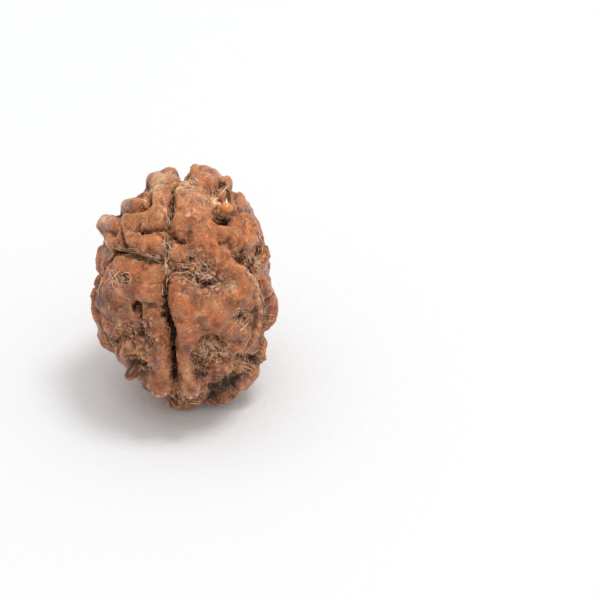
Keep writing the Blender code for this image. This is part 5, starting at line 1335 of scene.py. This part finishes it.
# For each tuft: the girth of its threads in millimetres, and their routes over the front, across and up
STRANDS = {
    "crown fibres": (0.07, [
        [(-2.5, 11.1), (-2, 11.2), (-1.5, 11.4)], [(-2.8, 10.6), (-2.2, 10.8), (-1.7, 10.9)],
        [(-2.2, 11.7), (-1.7, 12), (-1.3, 12.4)]]),
    "pole fibres": (0.07, [
        [(-0.5, 10.1), (0.1, 10.6), (0.8, 10.9), (1.6, 10.7)], [(-0.1, 10.3), (0.6, 10.5), (1.4, 10.3)],
        [(0.2, 9.9), (0.8, 10.3), (1.7, 10.2)], [(0.8, 11.1), (1.5, 10.8), (2.1, 10.4)],
        [(0.4, 10.9), (1, 10.6), (1.3, 10.1)]]),
    "top strands": (0.06, [
        [(1.2, 9.6), (1.3, 9.3), (1.4, 9)], [(1.3, 8.6), (1.1, 8.3), (0.8, 8)],
        [(1.7, 7.8), (1.8, 7.6), (1.8, 7.4)], [(2.3, 6.7), (2.5, 6.5), (2.6, 6.3)],
        [(3.1, 5.4), (3.2, 5.2), (3.4, 5.1)], [(3.4, 8.6), (3.5, 8.8), (3.5, 9.1)],
        [(2.2, 9.8), (2.4, 9.3), (2.3, 8.9)], [(2.8, 10.4), (3, 10), (2.9, 9.4)],
        [(0.4, 9.5), (0.6, 9.1), (0.5, 8.6)]]),
    "tail": (0.11, [
        [(4.5, 10.6), (4.1, 10.2), (3.8, 9.6)]]),
    "hook groove": (0.07, [
        [(-7.4, 4.3), (-6.7, 4), (-5.8, 3.8), (-5, 3.6)],
        [(-4.7, 3.6), (-3.9, 3.3), (-3.2, 3.1), (-2.3, 2.9)], [(-4.1, 3.8), (-3.4, 3.5), (-2.4, 3.3)],
        [(-5.5, 3.4), (-4.8, 3.2), (-4, 2.9)], [(-6.6, 4.3), (-5.9, 4), (-5.3, 3.9)],
        [(-3.6, 3.1), (-3, 2.8), (-2.2, 2.6)], [(-5.9, 3.6), (-5.3, 3.4), (-4.8, 3.5)]]),
    "furrow fibres": (0.08, [
        [(-1.9, 5.3), (-2, 4.5), (-1.9, 3.6)], [(-1.7, 5.3), (-1.6, 4.5), (-1.7, 3.6)],
        [(-2.1, 4), (-2.2, 3.2), (-2.1, 2.3)], [(-1.5, 3.4), (-1.7, 2.6), (-1.6, 1.9)],
        [(-2, 2.8), (-1.8, 2.1), (-1.9, 1.3)], [(-1.4, 4), (-1.2, 3.6), (-1.1, 3.1)],
        [(-2.3, 2.8), (-2, 2.3), (-1.9, 1.7)], [(-1.7, 4.7), (-1.4, 4.2), (-1.1, 3.9)],
        [(-2.2, 4.7), (-1.9, 4), (-1.6, 3.7)], [(-1.8, 0.4), (-1.9, -0.2), (-1.9, -0.8)],
        [(-2, 7.8), (-1.9, 7.2), (-2, 6.6)], [(-1.7, 8.1), (-1.8, 7.3), (-1.6, 6.7)]]),
    "pale tuft": (0.14, [
        [(-1.5, 1.6), (-1.6, 1), (-1.7, 0.3)]]),
    "curl": (0.07, [
        [(-6.8, 1.3), (-6.5, 1.6), (-5.9, 1.5), (-5.7, 1.1), (-5.9, 0.5), (-6.5, 0.5), (-6.8, 0.8)],
        [(-7.1, 0.7), (-6.8, 0.3), (-6.1, 0.2), (-5.6, 0.6)], [(-6.6, 1), (-6.3, 1.2), (-6, 0.8)],
        [(-7.4, 1.4), (-7.1, 1), (-6.9, 0.4)]]),
    "centre fibres": (0.07, [
        [(-1.4, 1.6), (-0.7, 1.8), (0, 1.6)], [(0.3, 0.7), (1, 1.2), (1.6, 1.5)],
        [(1.8, 2), (1.9, 1.5), (2, 1)], [(0.7, 0.5), (1.2, 0.2), (1.6, 0)],
        [(-0.8, 2.1), (-0.1, 2.2), (0.6, 1.9)], [(-0.1, 1.2), (0.6, 1), (1.2, 0.4)],
        [(2.4, 1.3), (3, 1), (3.7, 0.8)], [(1.3, 2.6), (1.7, 2.3), (2.2, 2.3)],
        [(0.8, 2.1), (1.3, 1.8), (1.5, 1.3)], [(1.6, 0.7), (2.1, 1), (2.8, 1.2)],
        [(2.8, 0.3), (3.3, 0.2), (3.9, 0.4)], [(0.2, 1.7), (0.7, 1.5), (1.4, 1)],
        [(2.2, 2.8), (2.6, 2.3), (3, 1.8)]]),
    "side ring": (0.07, [
        [(5.5, -3.5), (5.9, -3.9), (6.3, -4.3)], [(5.1, -2.6), (5.2, -3.3), (5.5, -3.8)],
        [(6.4, -2.3), (6.9, -2.6), (7, -3.3)], [(5.3, -2.3), (5.8, -2.1), (6.4, -2.2)],
        [(6.6, -3.4), (6.4, -3.9), (5.9, -4.2)]]),
    "lower fibres": (0.07, [
        [(1.7, -5.7), (1.7, -6.1), (1.8, -6.6)], [(4, -5.4), (4.3, -5.7), (4.5, -6.1)],
        [(2.8, -6), (3, -6.4), (3.3, -6.6)], [(1.8, -7.1), (2, -7.4), (2.3, -7.6)],
        [(2.2, -5.4), (2.8, -5.8), (3.4, -5.8)], [(3.2, -6.7), (3.8, -6.8), (4.5, -6.7)],
        [(1.4, -6.6), (1.9, -6.9), (2.5, -6.9)], [(3.6, -5.8), (3.9, -6.3), (3.8, -6.8)],
        [(2.3, -6), (2.4, -6.7), (2.2, -7.2)], [(3, -5.4), (3.3, -5.7), (3.7, -5.9)],
        [(4.2, -6.1), (4.8, -6.6), (4.9, -7.1)], [(2.5, -7.3), (3.1, -7.4), (3.5, -7.2)]]),
    "right lip line": (0.07, [
        [(5.6, 2.6), (5.9, 2), (6.6, 1.4), (7, 0.7), (7.4, 0.1), (7.7, -0.5), (8.1, -1.3), (8.2, -2.1),
            (8.3, -3.1), (7.8, -4)],
        [(6.5, 2.3), (7.2, 1.5), (7.8, 0.6), (8, -0.3)]]),
    "shoulder lines": (0.08, [
        [(7.8, 6), (8.2, 5.3), (8.3, 4.6), (8, 3.8)], [(7.5, 5), (7.8, 4.3), (7.6, 3.6)]]),
    "left lines": (0.08, [
        [(-8.5, 2.1), (-8.8, 0.5), (-9.2, -0.7), (-9.4, -1.3)],
        [(-8.5, -4.8), (-8.1, -5.3), (-7.6, -5.8), (-7, -6.1)], [(-7.6, 2.1), (-7.2, 1.2), (-6.9, 0.1)],
        [(-6.9, 2.1), (-7.6, 1.3), (-8.2, 0.2)]]),
    "bottom fibres": (0.08, [
        [(-1.7, -10.9), (-1.4, -11.6), (-1, -12.1), (-0.4, -12.5)],
        [(-0.6, -10.8), (-0.4, -11.4), (0, -12.1)], [(0.6, -11.8), (1.3, -12.1), (2, -12)],
        [(0.2, -12.3), (1, -12.2), (1.6, -11.8)], [(2.3, -10.5), (1.7, -11.2), (1.3, -12.1)]]),
    "olive tangle": (0.07, [
        [(6.7, 3.4), (7, 2.9), (6.9, 2.2)], [(7.1, 3.4), (7.6, 3.1), (8.1, 2.6)],
        [(7.2, 2.5), (7.7, 2.2), (8.2, 1.9)], [(7.5, 3.5), (7.5, 2.9), (7.2, 2.3)],
        [(6.7, 2.6), (7.2, 2.8), (7.8, 3.2)], [(7.8, 2.8), (7.6, 2.1), (7.8, 1.6)]]),
    "low right fibres": (0.07, [
        [(5.3, -8), (5.9, -7.8), (6.6, -8.1)], [(6.9, -8.3), (7.4, -8.5), (8, -8.3)],
        [(5.7, -8.5), (6.4, -8.8), (7, -9)], [(5.2, -7.2), (5.6, -6.8), (6.3, -6.6)],
        [(7, -7.3), (7.5, -7.1), (8.2, -6.9)]]),
}

# The threads: how finely their routes are followed, how many lie along each route and how far apart
STRAND_STEP = 0.13
STRAND_COPIES = 2
STRAND_SPREAD = 0.18
STRAND_SEED = 7
LEAST_STEPS = 4

# The share of its girth that a thread has at random, how it thins towards its ends, and its sides
STRAND_THIN = (0.6, 1.15)
END_THINNING = 0.75
END_POWER = 4
STRAND_SIDES = 5

# How it wavers: how finely, from which places of the noise, and how far as a share of the spread
WAVER_RATE = 1.6
WAVER_PHASES = (0, 9)
WAVER_SHARE = 1.6

# How much of its girth it stands off the wood, and how often its corners and its bridges are evened out
STAND_OFF = 0.3
CORNER_ROUNDS = 3
BRIDGE_ROUNDS = 2

# The size of the fine waver on every tube and crumb, and its height on the strands, in millimetres
WAVER_SIZE = 0.3
STRAND_WAVER = 0.08

# How far out the lines of sight start that find a thread's place on the stone
VIEW_DISTANCE = 30.0

stone_tree = BVHTree.FromPolygons([vertex.co for vertex in stone.data.vertices],
                                  [polygon.vertices for polygon in stone.data.polygons])


def drape(across, up):
    """The place of the stone that the front shows here, or None beside the stone."""
    start = np.array(MIDDLE) + across * ACROSS + up * UP + VIEW_DISTANCE * OUT
    return stone_tree.ray_cast(Vector(start) * MM, -Vector(OUT))[0]


def round_off(values, rounds):
    """Even out a run of values in place, with both its ends kept."""
    for _ in range(rounds):
        values[1:-1] = (values[:-2] + 2 * values[1:-1] + values[2:]) / 4


def lay_thread(route, girth, rng):
    """The places along one thread: it follows its route, wavers, and bridges what is narrow."""
    marks = np.array(route)
    runs = np.concatenate([[0.0], np.cumsum(np.hypot(*np.diff(marks, axis=0).T))])
    steps = np.linspace(0.0, runs[-1], max(int(runs[-1] / STRAND_STEP), LEAST_STEPS) + 1)
    face = np.stack([np.interp(steps, runs, marks[:, 0]), np.interp(steps, runs, marks[:, 1])], axis=1)
    round_off(face, CORNER_ROUNDS)
    shift = np.array([rng.gauss(0, STRAND_SPREAD), rng.gauss(0, STRAND_SPREAD)])
    phase = rng.uniform(*WAVER_PHASES)
    wave = np.array([[noise.noise((place, phase, 0.0)), noise.noise((place, 0.0, phase))]
                     for place in steps * WAVER_RATE])
    face += shift + wave * STRAND_SPREAD * WAVER_SHARE
    hits = [drape(*mark) for mark in face]
    places = np.array([hit for hit in hits if hit is not None])
    if len(places) < LEAST_STEPS:
        return None
    height = places @ OUT
    bridged = np.maximum(np.maximum(np.roll(height, 1), np.roll(height, -1)), height)
    bridged[[0, -1]] = height[[0, -1]]
    round_off(bridged, BRIDGE_ROUNDS)
    return places + ((bridged - height) + STAND_OFF * girth * MM)[:, None] * OUT


def thread_lines():
    """All the threads as one mesh of edges, with the half width at each point."""
    rng = random.Random(STRAND_SEED)
    points, edges, halves = [], [], []
    for girth, routes in STRANDS.values():
        for route in routes:
            for _ in range(STRAND_COPIES):
                width = girth * rng.uniform(*STRAND_THIN)
                places = lay_thread(route, width, rng)
                if places is None:
                    continue
                share = np.linspace(-1, 1, len(places))
                halves += (0.5 * width * MM * (1 - END_THINNING * share ** END_POWER)).tolist()
                numbers = range(len(points), len(points) + len(places))
                edges += zip(numbers, numbers[1:])
                points += places.tolist()
    mesh = bpy.data.meshes.new("thread_lines")
    mesh.from_pydata(points, edges, [])
    write_attribute(mesh, "half_width", np.array(halves))
    return place_object("thread_lines", mesh)


def new_group(name, kinds):
    """A node group that takes a geometry and these named inputs and gives a geometry."""
    group = bpy.data.node_groups.new(name, "GeometryNodeTree")
    group.interface.new_socket("Geometry", in_out="INPUT", socket_type="NodeSocketGeometry")
    for title, kind in kinds.items():
        group.interface.new_socket(title, in_out="INPUT", socket_type="NodeSocket" + kind)
    group.interface.new_socket("Geometry", in_out="OUTPUT", socket_type="NodeSocketGeometry")
    given = group.nodes.new("NodeGroupInput").outputs
    return group, given, group.nodes.new("NodeGroupOutput").inputs


def grow(source, group, values, name):
    """Run a node group on an object with these values for its named inputs, as a plain mesh."""
    modifier = source.modifiers.new(group.name, "NODES")
    modifier.node_group = group
    for item in group.interface.items_tree:
        if item.in_out == "INPUT" and item.name in values:
            modifier[item.identifier] = values[item.name]
    return plain_mesh(source, name)


def make(group, kind, inputs, **settings):
    """The first output of a new node."""
    return first_output(add(group, kind, inputs, **settings))


def named_value(group, name):
    return make(group, "GeometryNodeInputNamedAttribute", {"Name": name}, data_type="FLOAT")


def wavered(group, geometry, height):
    """The geometry with its points moved up to about this far by noise."""
    place = add(group, "GeometryNodeInputPosition").outputs["Position"]
    inputs = {"Vector": place, "Scale": 1 / (WAVER_SIZE * MM), "Detail": 1.0}
    wander = add(group, "ShaderNodeTexNoise", inputs).outputs["Color"]
    middle = make(group, "ShaderNodeVectorMath", {0: wander, 1: (0.5, 0.5, 0.5)}, operation="SUBTRACT")
    offset = make(group, "ShaderNodeVectorMath", {0: middle, "Scale": height}, operation="SCALE")
    return make(group, "GeometryNodeSetPosition", {"Geometry": geometry, "Offset": offset})


def finish_group(group, given, result, geometry):
    dyed = make(group, "GeometryNodeSetMaterial", {"Geometry": geometry, "Material": given["Material"]})
    group.links.new(dyed, result["Geometry"])
    return group


def strand_group():
    """A tube along each line, as thick as its attribute says."""
    group, given, result = new_group("strand_tubes", {"Sides": "Int", "Waver": "Float",
                                                      "Material": "Material"})
    curve = make(group, "GeometryNodeMeshToCurve", {"Mesh": given["Geometry"]})
    ring = make(group, "GeometryNodeCurvePrimitiveCircle", {"Resolution": given["Sides"], "Radius": 1.0})
    tubes = make(group, "GeometryNodeCurveToMesh", {"Curve": curve, "Profile Curve": ring,
                                                    "Scale": named_value(group, "half_width"),
                                                    "Fill Caps": True})
    wavering = wavered(group, tubes, given["Waver"])
    whole = make(group, "GeometryNodeRealizeInstances", {"Geometry": wavering})
    smooth = make(group, "GeometryNodeSetShadeSmooth", {"Geometry": whole, "Shade Smooth": True})
    return finish_group(group, given, result, smooth)


# The browner stretches of a fibre: the size, detail and roughness of their noise, the part of it that is
# used, and what that is spread over
STRETCHES = (0.5, 2.0, 0.6, 0.35, 0.65, 0.0, 1.0)


def fibre_material(name, pale, dark):
    """Dry plant fibre with a slight gloss: pale, with browner stretches."""
    material, tree, shader = new_material(name, {"Roughness": 0.5, "Specular IOR Level": 0.4})
    colour = mixed(tree, "MIX", patches_of(tree, *STRETCHES), pale, dark)
    tree.links.new(colour, shader["Base Color"])
    return material


pale_fibre = fibre_material("pale_fibre", tone(255, 234, 202), tone(212, 162, 116))
strands = grow(thread_lines(), strand_group(),
               {"Sides": STRAND_SIDES, "Waver": STRAND_WAVER * MM, "Material": pale_fibre}, "strands")
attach(strands, "root")

# The loose fibres
# Short broken ends of the same fibres, matted in the furrows and hollows all round the stone. They are
# caught in each other and in the rough wood.

# Their length and half width in millimetres, how many lie on a square millimetre, and their waver
FIBRE_LENGTH = 0.75
FIBRE_HALF_WIDTH = 0.024
FIBRE_DENSITY = 8.0
FIBRE_WAVER = 0.14
FIBRE_SEED = 11

# The limits of a fibre's random turns and length; its bend, for a length of one; its points and sides
FIBRE_TURNS = ((-0.5, -0.5, 0.0), (0.5, 0.5, 2 * math.pi))
FIBRE_LENGTHS = (0.5, 1.5)
FIBRE_BEND = {"Start": (-0.5, 0.0, -0.05), "Middle": (0.0, 0.3, 0.28), "End": (0.5, 0.0, -0.05)}
FIBRE_POINTS = 5
FIBRE_SIDES = 3

# The seeds of the random sizes and shades, for fibres and crumbs alike
SIZE_SEED = 5
SHADE_SEED = 3


def random_value(group, kind, least, most, seed):
    inputs = {"Min": least, "Max": most, "Seed": seed}
    return make(group, "FunctionNodeRandomValue", inputs, data_type=kind)


def scattered(group, given, mask, turns):
    """Points on the faces where the mask is high, and a random turn for each."""
    share = combine(group, "MULTIPLY", named_value(group, mask), given["Density"])
    points = add(group, "GeometryNodeDistributePointsOnFaces",
                 {"Mesh": given["Geometry"], "Density": share, "Seed": given["Seed"]}).outputs
    turn = random_value(group, "FLOAT_VECTOR", *turns, given["Seed"])
    spin = make(group, "FunctionNodeEulerToRotation", {"Euler": turn})
    rotation = make(group, "FunctionNodeRotateRotation",
                    {"Rotation": points["Rotation"], "Rotate By": spin}, rotation_space="LOCAL")
    return {"Points": points["Points"], "Rotation": rotation}


def strewn(group, given, result, inputs, waver):
    """Real faces from instances, with a shade of their own each, wavering a little."""
    instances = make(group, "GeometryNodeInstanceOnPoints", inputs)
    shade = random_value(group, "FLOAT", 0.0, 1.0, SHADE_SEED)
    named = make(group, "GeometryNodeStoreNamedAttribute",
                 {"Geometry": instances, "Name": "shade", "Value": shade},
                 data_type="FLOAT", domain="INSTANCE")
    whole = make(group, "GeometryNodeRealizeInstances", {"Geometry": named})
    return finish_group(group, given, result, wavered(group, whole, waver))


def fibre_group():
    """Short bent tubes, lying nearly flat where the stone is fibrous."""
    group, given, result = new_group("matted_fibres", {
        "Density": "Float", "Seed": "Int", "Length": "Float", "Half Width": "Float",
        "Material": "Material"})
    inputs = scattered(group, given, "fibrous", FIBRE_TURNS)
    bend = make(group, "GeometryNodeCurveQuadraticBezier", {"Resolution": FIBRE_POINTS, **FIBRE_BEND})
    size = combine(group, "DIVIDE", given["Half Width"], given["Length"])
    ring = make(group, "GeometryNodeCurvePrimitiveCircle", {"Resolution": FIBRE_SIDES, "Radius": size})
    inputs["Instance"] = make(group, "GeometryNodeCurveToMesh",
                              {"Curve": bend, "Fill Caps": True, "Profile Curve": ring})
    length = random_value(group, "FLOAT", *FIBRE_LENGTHS, SIZE_SEED)
    inputs["Scale"] = combine(group, "MULTIPLY", length, given["Length"])
    return strewn(group, given, result, inputs, FIBRE_WAVER * MM)


def stone_copy(name):
    return place_object(name, stone.data.copy())


loose_fibre = fibre_material("loose_fibre", tone(240, 202, 154), tone(182, 126, 86))
fibres = grow(stone_copy("fibre_bed"), fibre_group(),
              {"Density": FIBRE_DENSITY / MM ** 2, "Seed": FIBRE_SEED, "Length": FIBRE_LENGTH * MM,
               "Half Width": FIBRE_HALF_WIDTH * MM, "Material": loose_fibre}, "loose_fibres")
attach(fibres, "root")

# The crumbs
# Grains of the fruit's dried flesh and of broken wood, brown, plum and tan, stuck where the stone is
# rough. Each is about a quarter of a millimetre across.

# Their half width in millimetres, how many lie on a square millimetre, and their waver
CRUMB_HALF = 0.09
CRUMB_DENSITY = 14.0
CRUMB_WAVER = 0.1
CRUMB_SEED = 23

# The limits of a crumb's random turns and of its three sizes, as shares of the half width
CRUMB_TURNS = ((-3.0, -3.0, -3.0), (3.0, 3.0, 3.0))
CRUMB_SIZES = ((0.5, 0.4, 0.4), (1.5, 1.1, 1.0))

# The shades that turn a crumb pale and dark
PALE_SHADES = (0.4, 0.9)
DARK_SHADES = (0.3, 0.1)


def crumb_group():
    """Small uneven lumps where the stone is crumbly."""
    group, given, result = new_group("scattered_crumbs", {
        "Density": "Float", "Seed": "Int", "Half Width": "Float", "Material": "Material"})
    inputs = scattered(group, given, "crumbly", CRUMB_TURNS)
    lump = add(group, "GeometryNodeMeshIcoSphere", {"Radius": 1.0, "Subdivisions": 1})
    inputs["Instance"] = lump.outputs["Mesh"]
    size = random_value(group, "FLOAT_VECTOR", *CRUMB_SIZES, SIZE_SEED)
    inputs["Scale"] = make(group, "ShaderNodeVectorMath", {0: size, "Scale": given["Half Width"]},
                           operation="SCALE")
    return strewn(group, given, result, inputs, CRUMB_WAVER * MM)


def crumb_material():
    """Dull dried flesh, each crumb brown, tan or plum by its own shade."""
    material, tree, shader = new_material("dried_flesh", {"Roughness": 0.55})
    shade = attribute(tree, "shade")
    pale = spread(tree, shade, *PALE_SHADES, 0.0, 1.0)
    dark = spread(tree, shade, *DARK_SHADES, 0.0, 1.0)
    colour = mixed(tree, "MIX", pale, tone(168, 112, 82), tone(222, 176, 136))
    colour = mixed(tree, "MIX", dark, colour, tone(116, 80, 76))
    tree.links.new(colour, shader["Base Color"])
    return material


crumbs = grow(stone_copy("crumb_bed"), crumb_group(),
              {"Density": CRUMB_DENSITY / MM ** 2, "Seed": CRUMB_SEED, "Half Width": CRUMB_HALF * MM,
               "Material": crumb_material()}, "crumbs")
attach(crumbs, "root")

# The resin bead
# One hardened drop of the fruit's gum, amber and glossy, with a drawn-out pale tip. It sits in the pit
# of the upper right.

# Where it sits on the front face and how far its middle stands above the egg; its rings from below, each
# a half width and a height; and where it turns pale
BEAD_PLACE = (4.4, 8.3)
BEAD_LEVEL = 1.15
BEAD_RINGS = [(0.0, -0.55), (0.3, -0.5), (0.52, -0.34), (0.65, -0.1), (0.63, 0.12), (0.48, 0.34),
              (0.26, 0.5), (0.12, 0.64), (0.07, 0.82), (0.0, 1.05)]
BEAD_SIDES = 24
PALE_TIP = (0.3, 0.7)


def make_bead():
    """A drop turned about the front's own up direction, half sunk in the wood."""
    middle = np.array(MIDDLE) + on_face(*BEAD_PLACE, BEAD_LEVEL)
    points = []
    for half, height in BEAD_RINGS:
        sides = BEAD_SIDES if half > 0 else 1
        for number in range(sides):
            angle = 2 * math.pi * number / sides
            beside = half * (math.cos(angle) * ACROSS + math.sin(angle) * OUT)
            points.append((middle + beside + height * UP) * MM)
    last = len(points) - 1
    steps = [(side, (side + 1) % BEAD_SIDES) for side in range(BEAD_SIDES)]
    faces = [(0, 1 + after, 1 + side) for side, after in steps]
    for low in range(1, last - BEAD_SIDES, BEAD_SIDES):
        high = low + BEAD_SIDES
        faces += [(low + side, low + after, high + after, high + side) for side, after in steps]
    faces += [(last - BEAD_SIDES + side, last - BEAD_SIDES + after, last) for side, after in steps]
    mesh = bpy.data.meshes.new("resin_bead")
    mesh.from_pydata([tuple(point) for point in points], [], faces)
    write_attribute(mesh, "tip", ramp((np.array(points) / MM - middle) @ UP, *PALE_TIP))
    mesh.shade_smooth()
    return place_object("resin_bead", mesh)


def resin_material():
    """Amber gum, soft inside and glossy, paler at its tip."""
    material, tree, shader = new_material("amber_resin", {
        "Roughness": 0.25, "Subsurface Weight": 0.35, "Subsurface Radius": (1.0, 0.45, 0.15),
        "Subsurface Scale": 0.3 * MM, "Coat Weight": 0.5})
    colour = mixed(tree, "MIX", attribute(tree, "tip"), tone(220, 140, 62), tone(250, 214, 160))
    tree.links.new(colour, shader["Base Color"])
    return material


bead = make_bead()
bead.data.materials.append(resin_material())
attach(bead, "root")

# The paper
# A sheet of heavy white paper with a fine embossed grain, which the stone stands on. It reaches past
# the camera's view on every side.

# Its side in metres and its divisions; its grain: size in millimetres, detail and roughness; and the
# strength and the depth of that
PAPER_SIZE = 0.9
PAPER_DIVISIONS = 4
PAPER_GRAIN = (0.9, 2.0, 0.5)
PAPER_RELIEF = 0.6
PAPER_DEPTH = 0.16


def paper_material():
    """Matt paper, very slightly cool, with the relief of its making as a bump."""
    material, tree, shader = new_material("embossed_paper", {
        "Base Color": (0.862, 0.868, 0.876, 1.0), "Roughness": 0.9, "Specular IOR Level": 0.2})
    bump = add(tree, "ShaderNodeBump", {"Strength": PAPER_RELIEF, "Distance": PAPER_DEPTH * MM,
                                        "Height": noise_of(tree, *PAPER_GRAIN)})
    tree.links.new(bump.outputs["Normal"], shader["Normal"])
    return material


bpy.ops.mesh.primitive_grid_add(x_subdivisions=PAPER_DIVISIONS, y_subdivisions=PAPER_DIVISIONS,
                                size=PAPER_SIZE)
paper = bpy.context.object
paper.name = "paper"
paper.data.materials.append(paper_material())

# The light
# A soft lamp overhead, a little to the right, under a broad pale ceiling, in an even pale room.

# For each light: its place, its width and its power
LIGHTS = {
    "lamp": ((0.13, 0.02, 0.5), 0.15, 0.88),
    "ceiling": ((0.0, 0.0, 0.9), 1.2, 2.6),
}
ROOM_COLOUR = (1.0, 1.0, 0.995, 1.0)
ROOM_STRENGTH = 0.62

for title, (place, size, power) in LIGHTS.items():
    light = bpy.data.lights.new(title, "AREA")
    light.shape = "DISK"
    light.size = size
    light.energy = power
    hung = place_object(title, light)
    hung.location = place
    hung.rotation_euler = hung.location.to_track_quat("Z", "Y").to_euler()

room = bpy.data.worlds.new("room")
room.use_nodes = True
room.node_tree.nodes["Background"].inputs["Color"].default_value = ROOM_COLOUR
room.node_tree.nodes["Background"].inputs["Strength"].default_value = ROOM_STRENGTH
bpy.context.scene.world = room
bpy.context.scene.view_settings.view_transform = "Standard"

# The camera
# It looks down at the front face with a long lens, with the stone left of the picture's middle.

# The picture's width in pixels, a pixel's size at the stone, and the pixel of the stone's middle
PICTURE_WIDTH = 600
PIXEL = 0.106 * MM
STONE_PIXEL = (184, 288)

# The lens and the sensor in millimetres, and the nearest and furthest distance that show, in metres
LENS = 200.0
SENSOR = 36.0
CLIPPING = (0.01, 10.0)

camera = bpy.data.cameras.new("camera")
camera.lens = LENS
camera.sensor_width = SENSOR
camera.clip_start, camera.clip_end = CLIPPING
camera_object = place_object("camera", camera)
bpy.context.scene.camera = camera_object
stone_middle = Vector(MIDDLE) * MM
camera_object.location = stone_middle + Vector(OUT) * (LENS / SENSOR * PICTURE_WIDTH * PIXEL)
aim = stone_middle + Vector(ACROSS) * (PICTURE_WIDTH / 2 - STONE_PIXEL[0]) * PIXEL
aim = aim + Vector(UP) * (STONE_PIXEL[1] - PICTURE_WIDTH / 2) * PIXEL
ahead = (aim - camera_object.location).normalized()
right = ahead.cross(Vector(UP)).normalized()
camera_object.rotation_euler = Matrix((right, right.cross(ahead), -ahead)).transposed().to_euler()
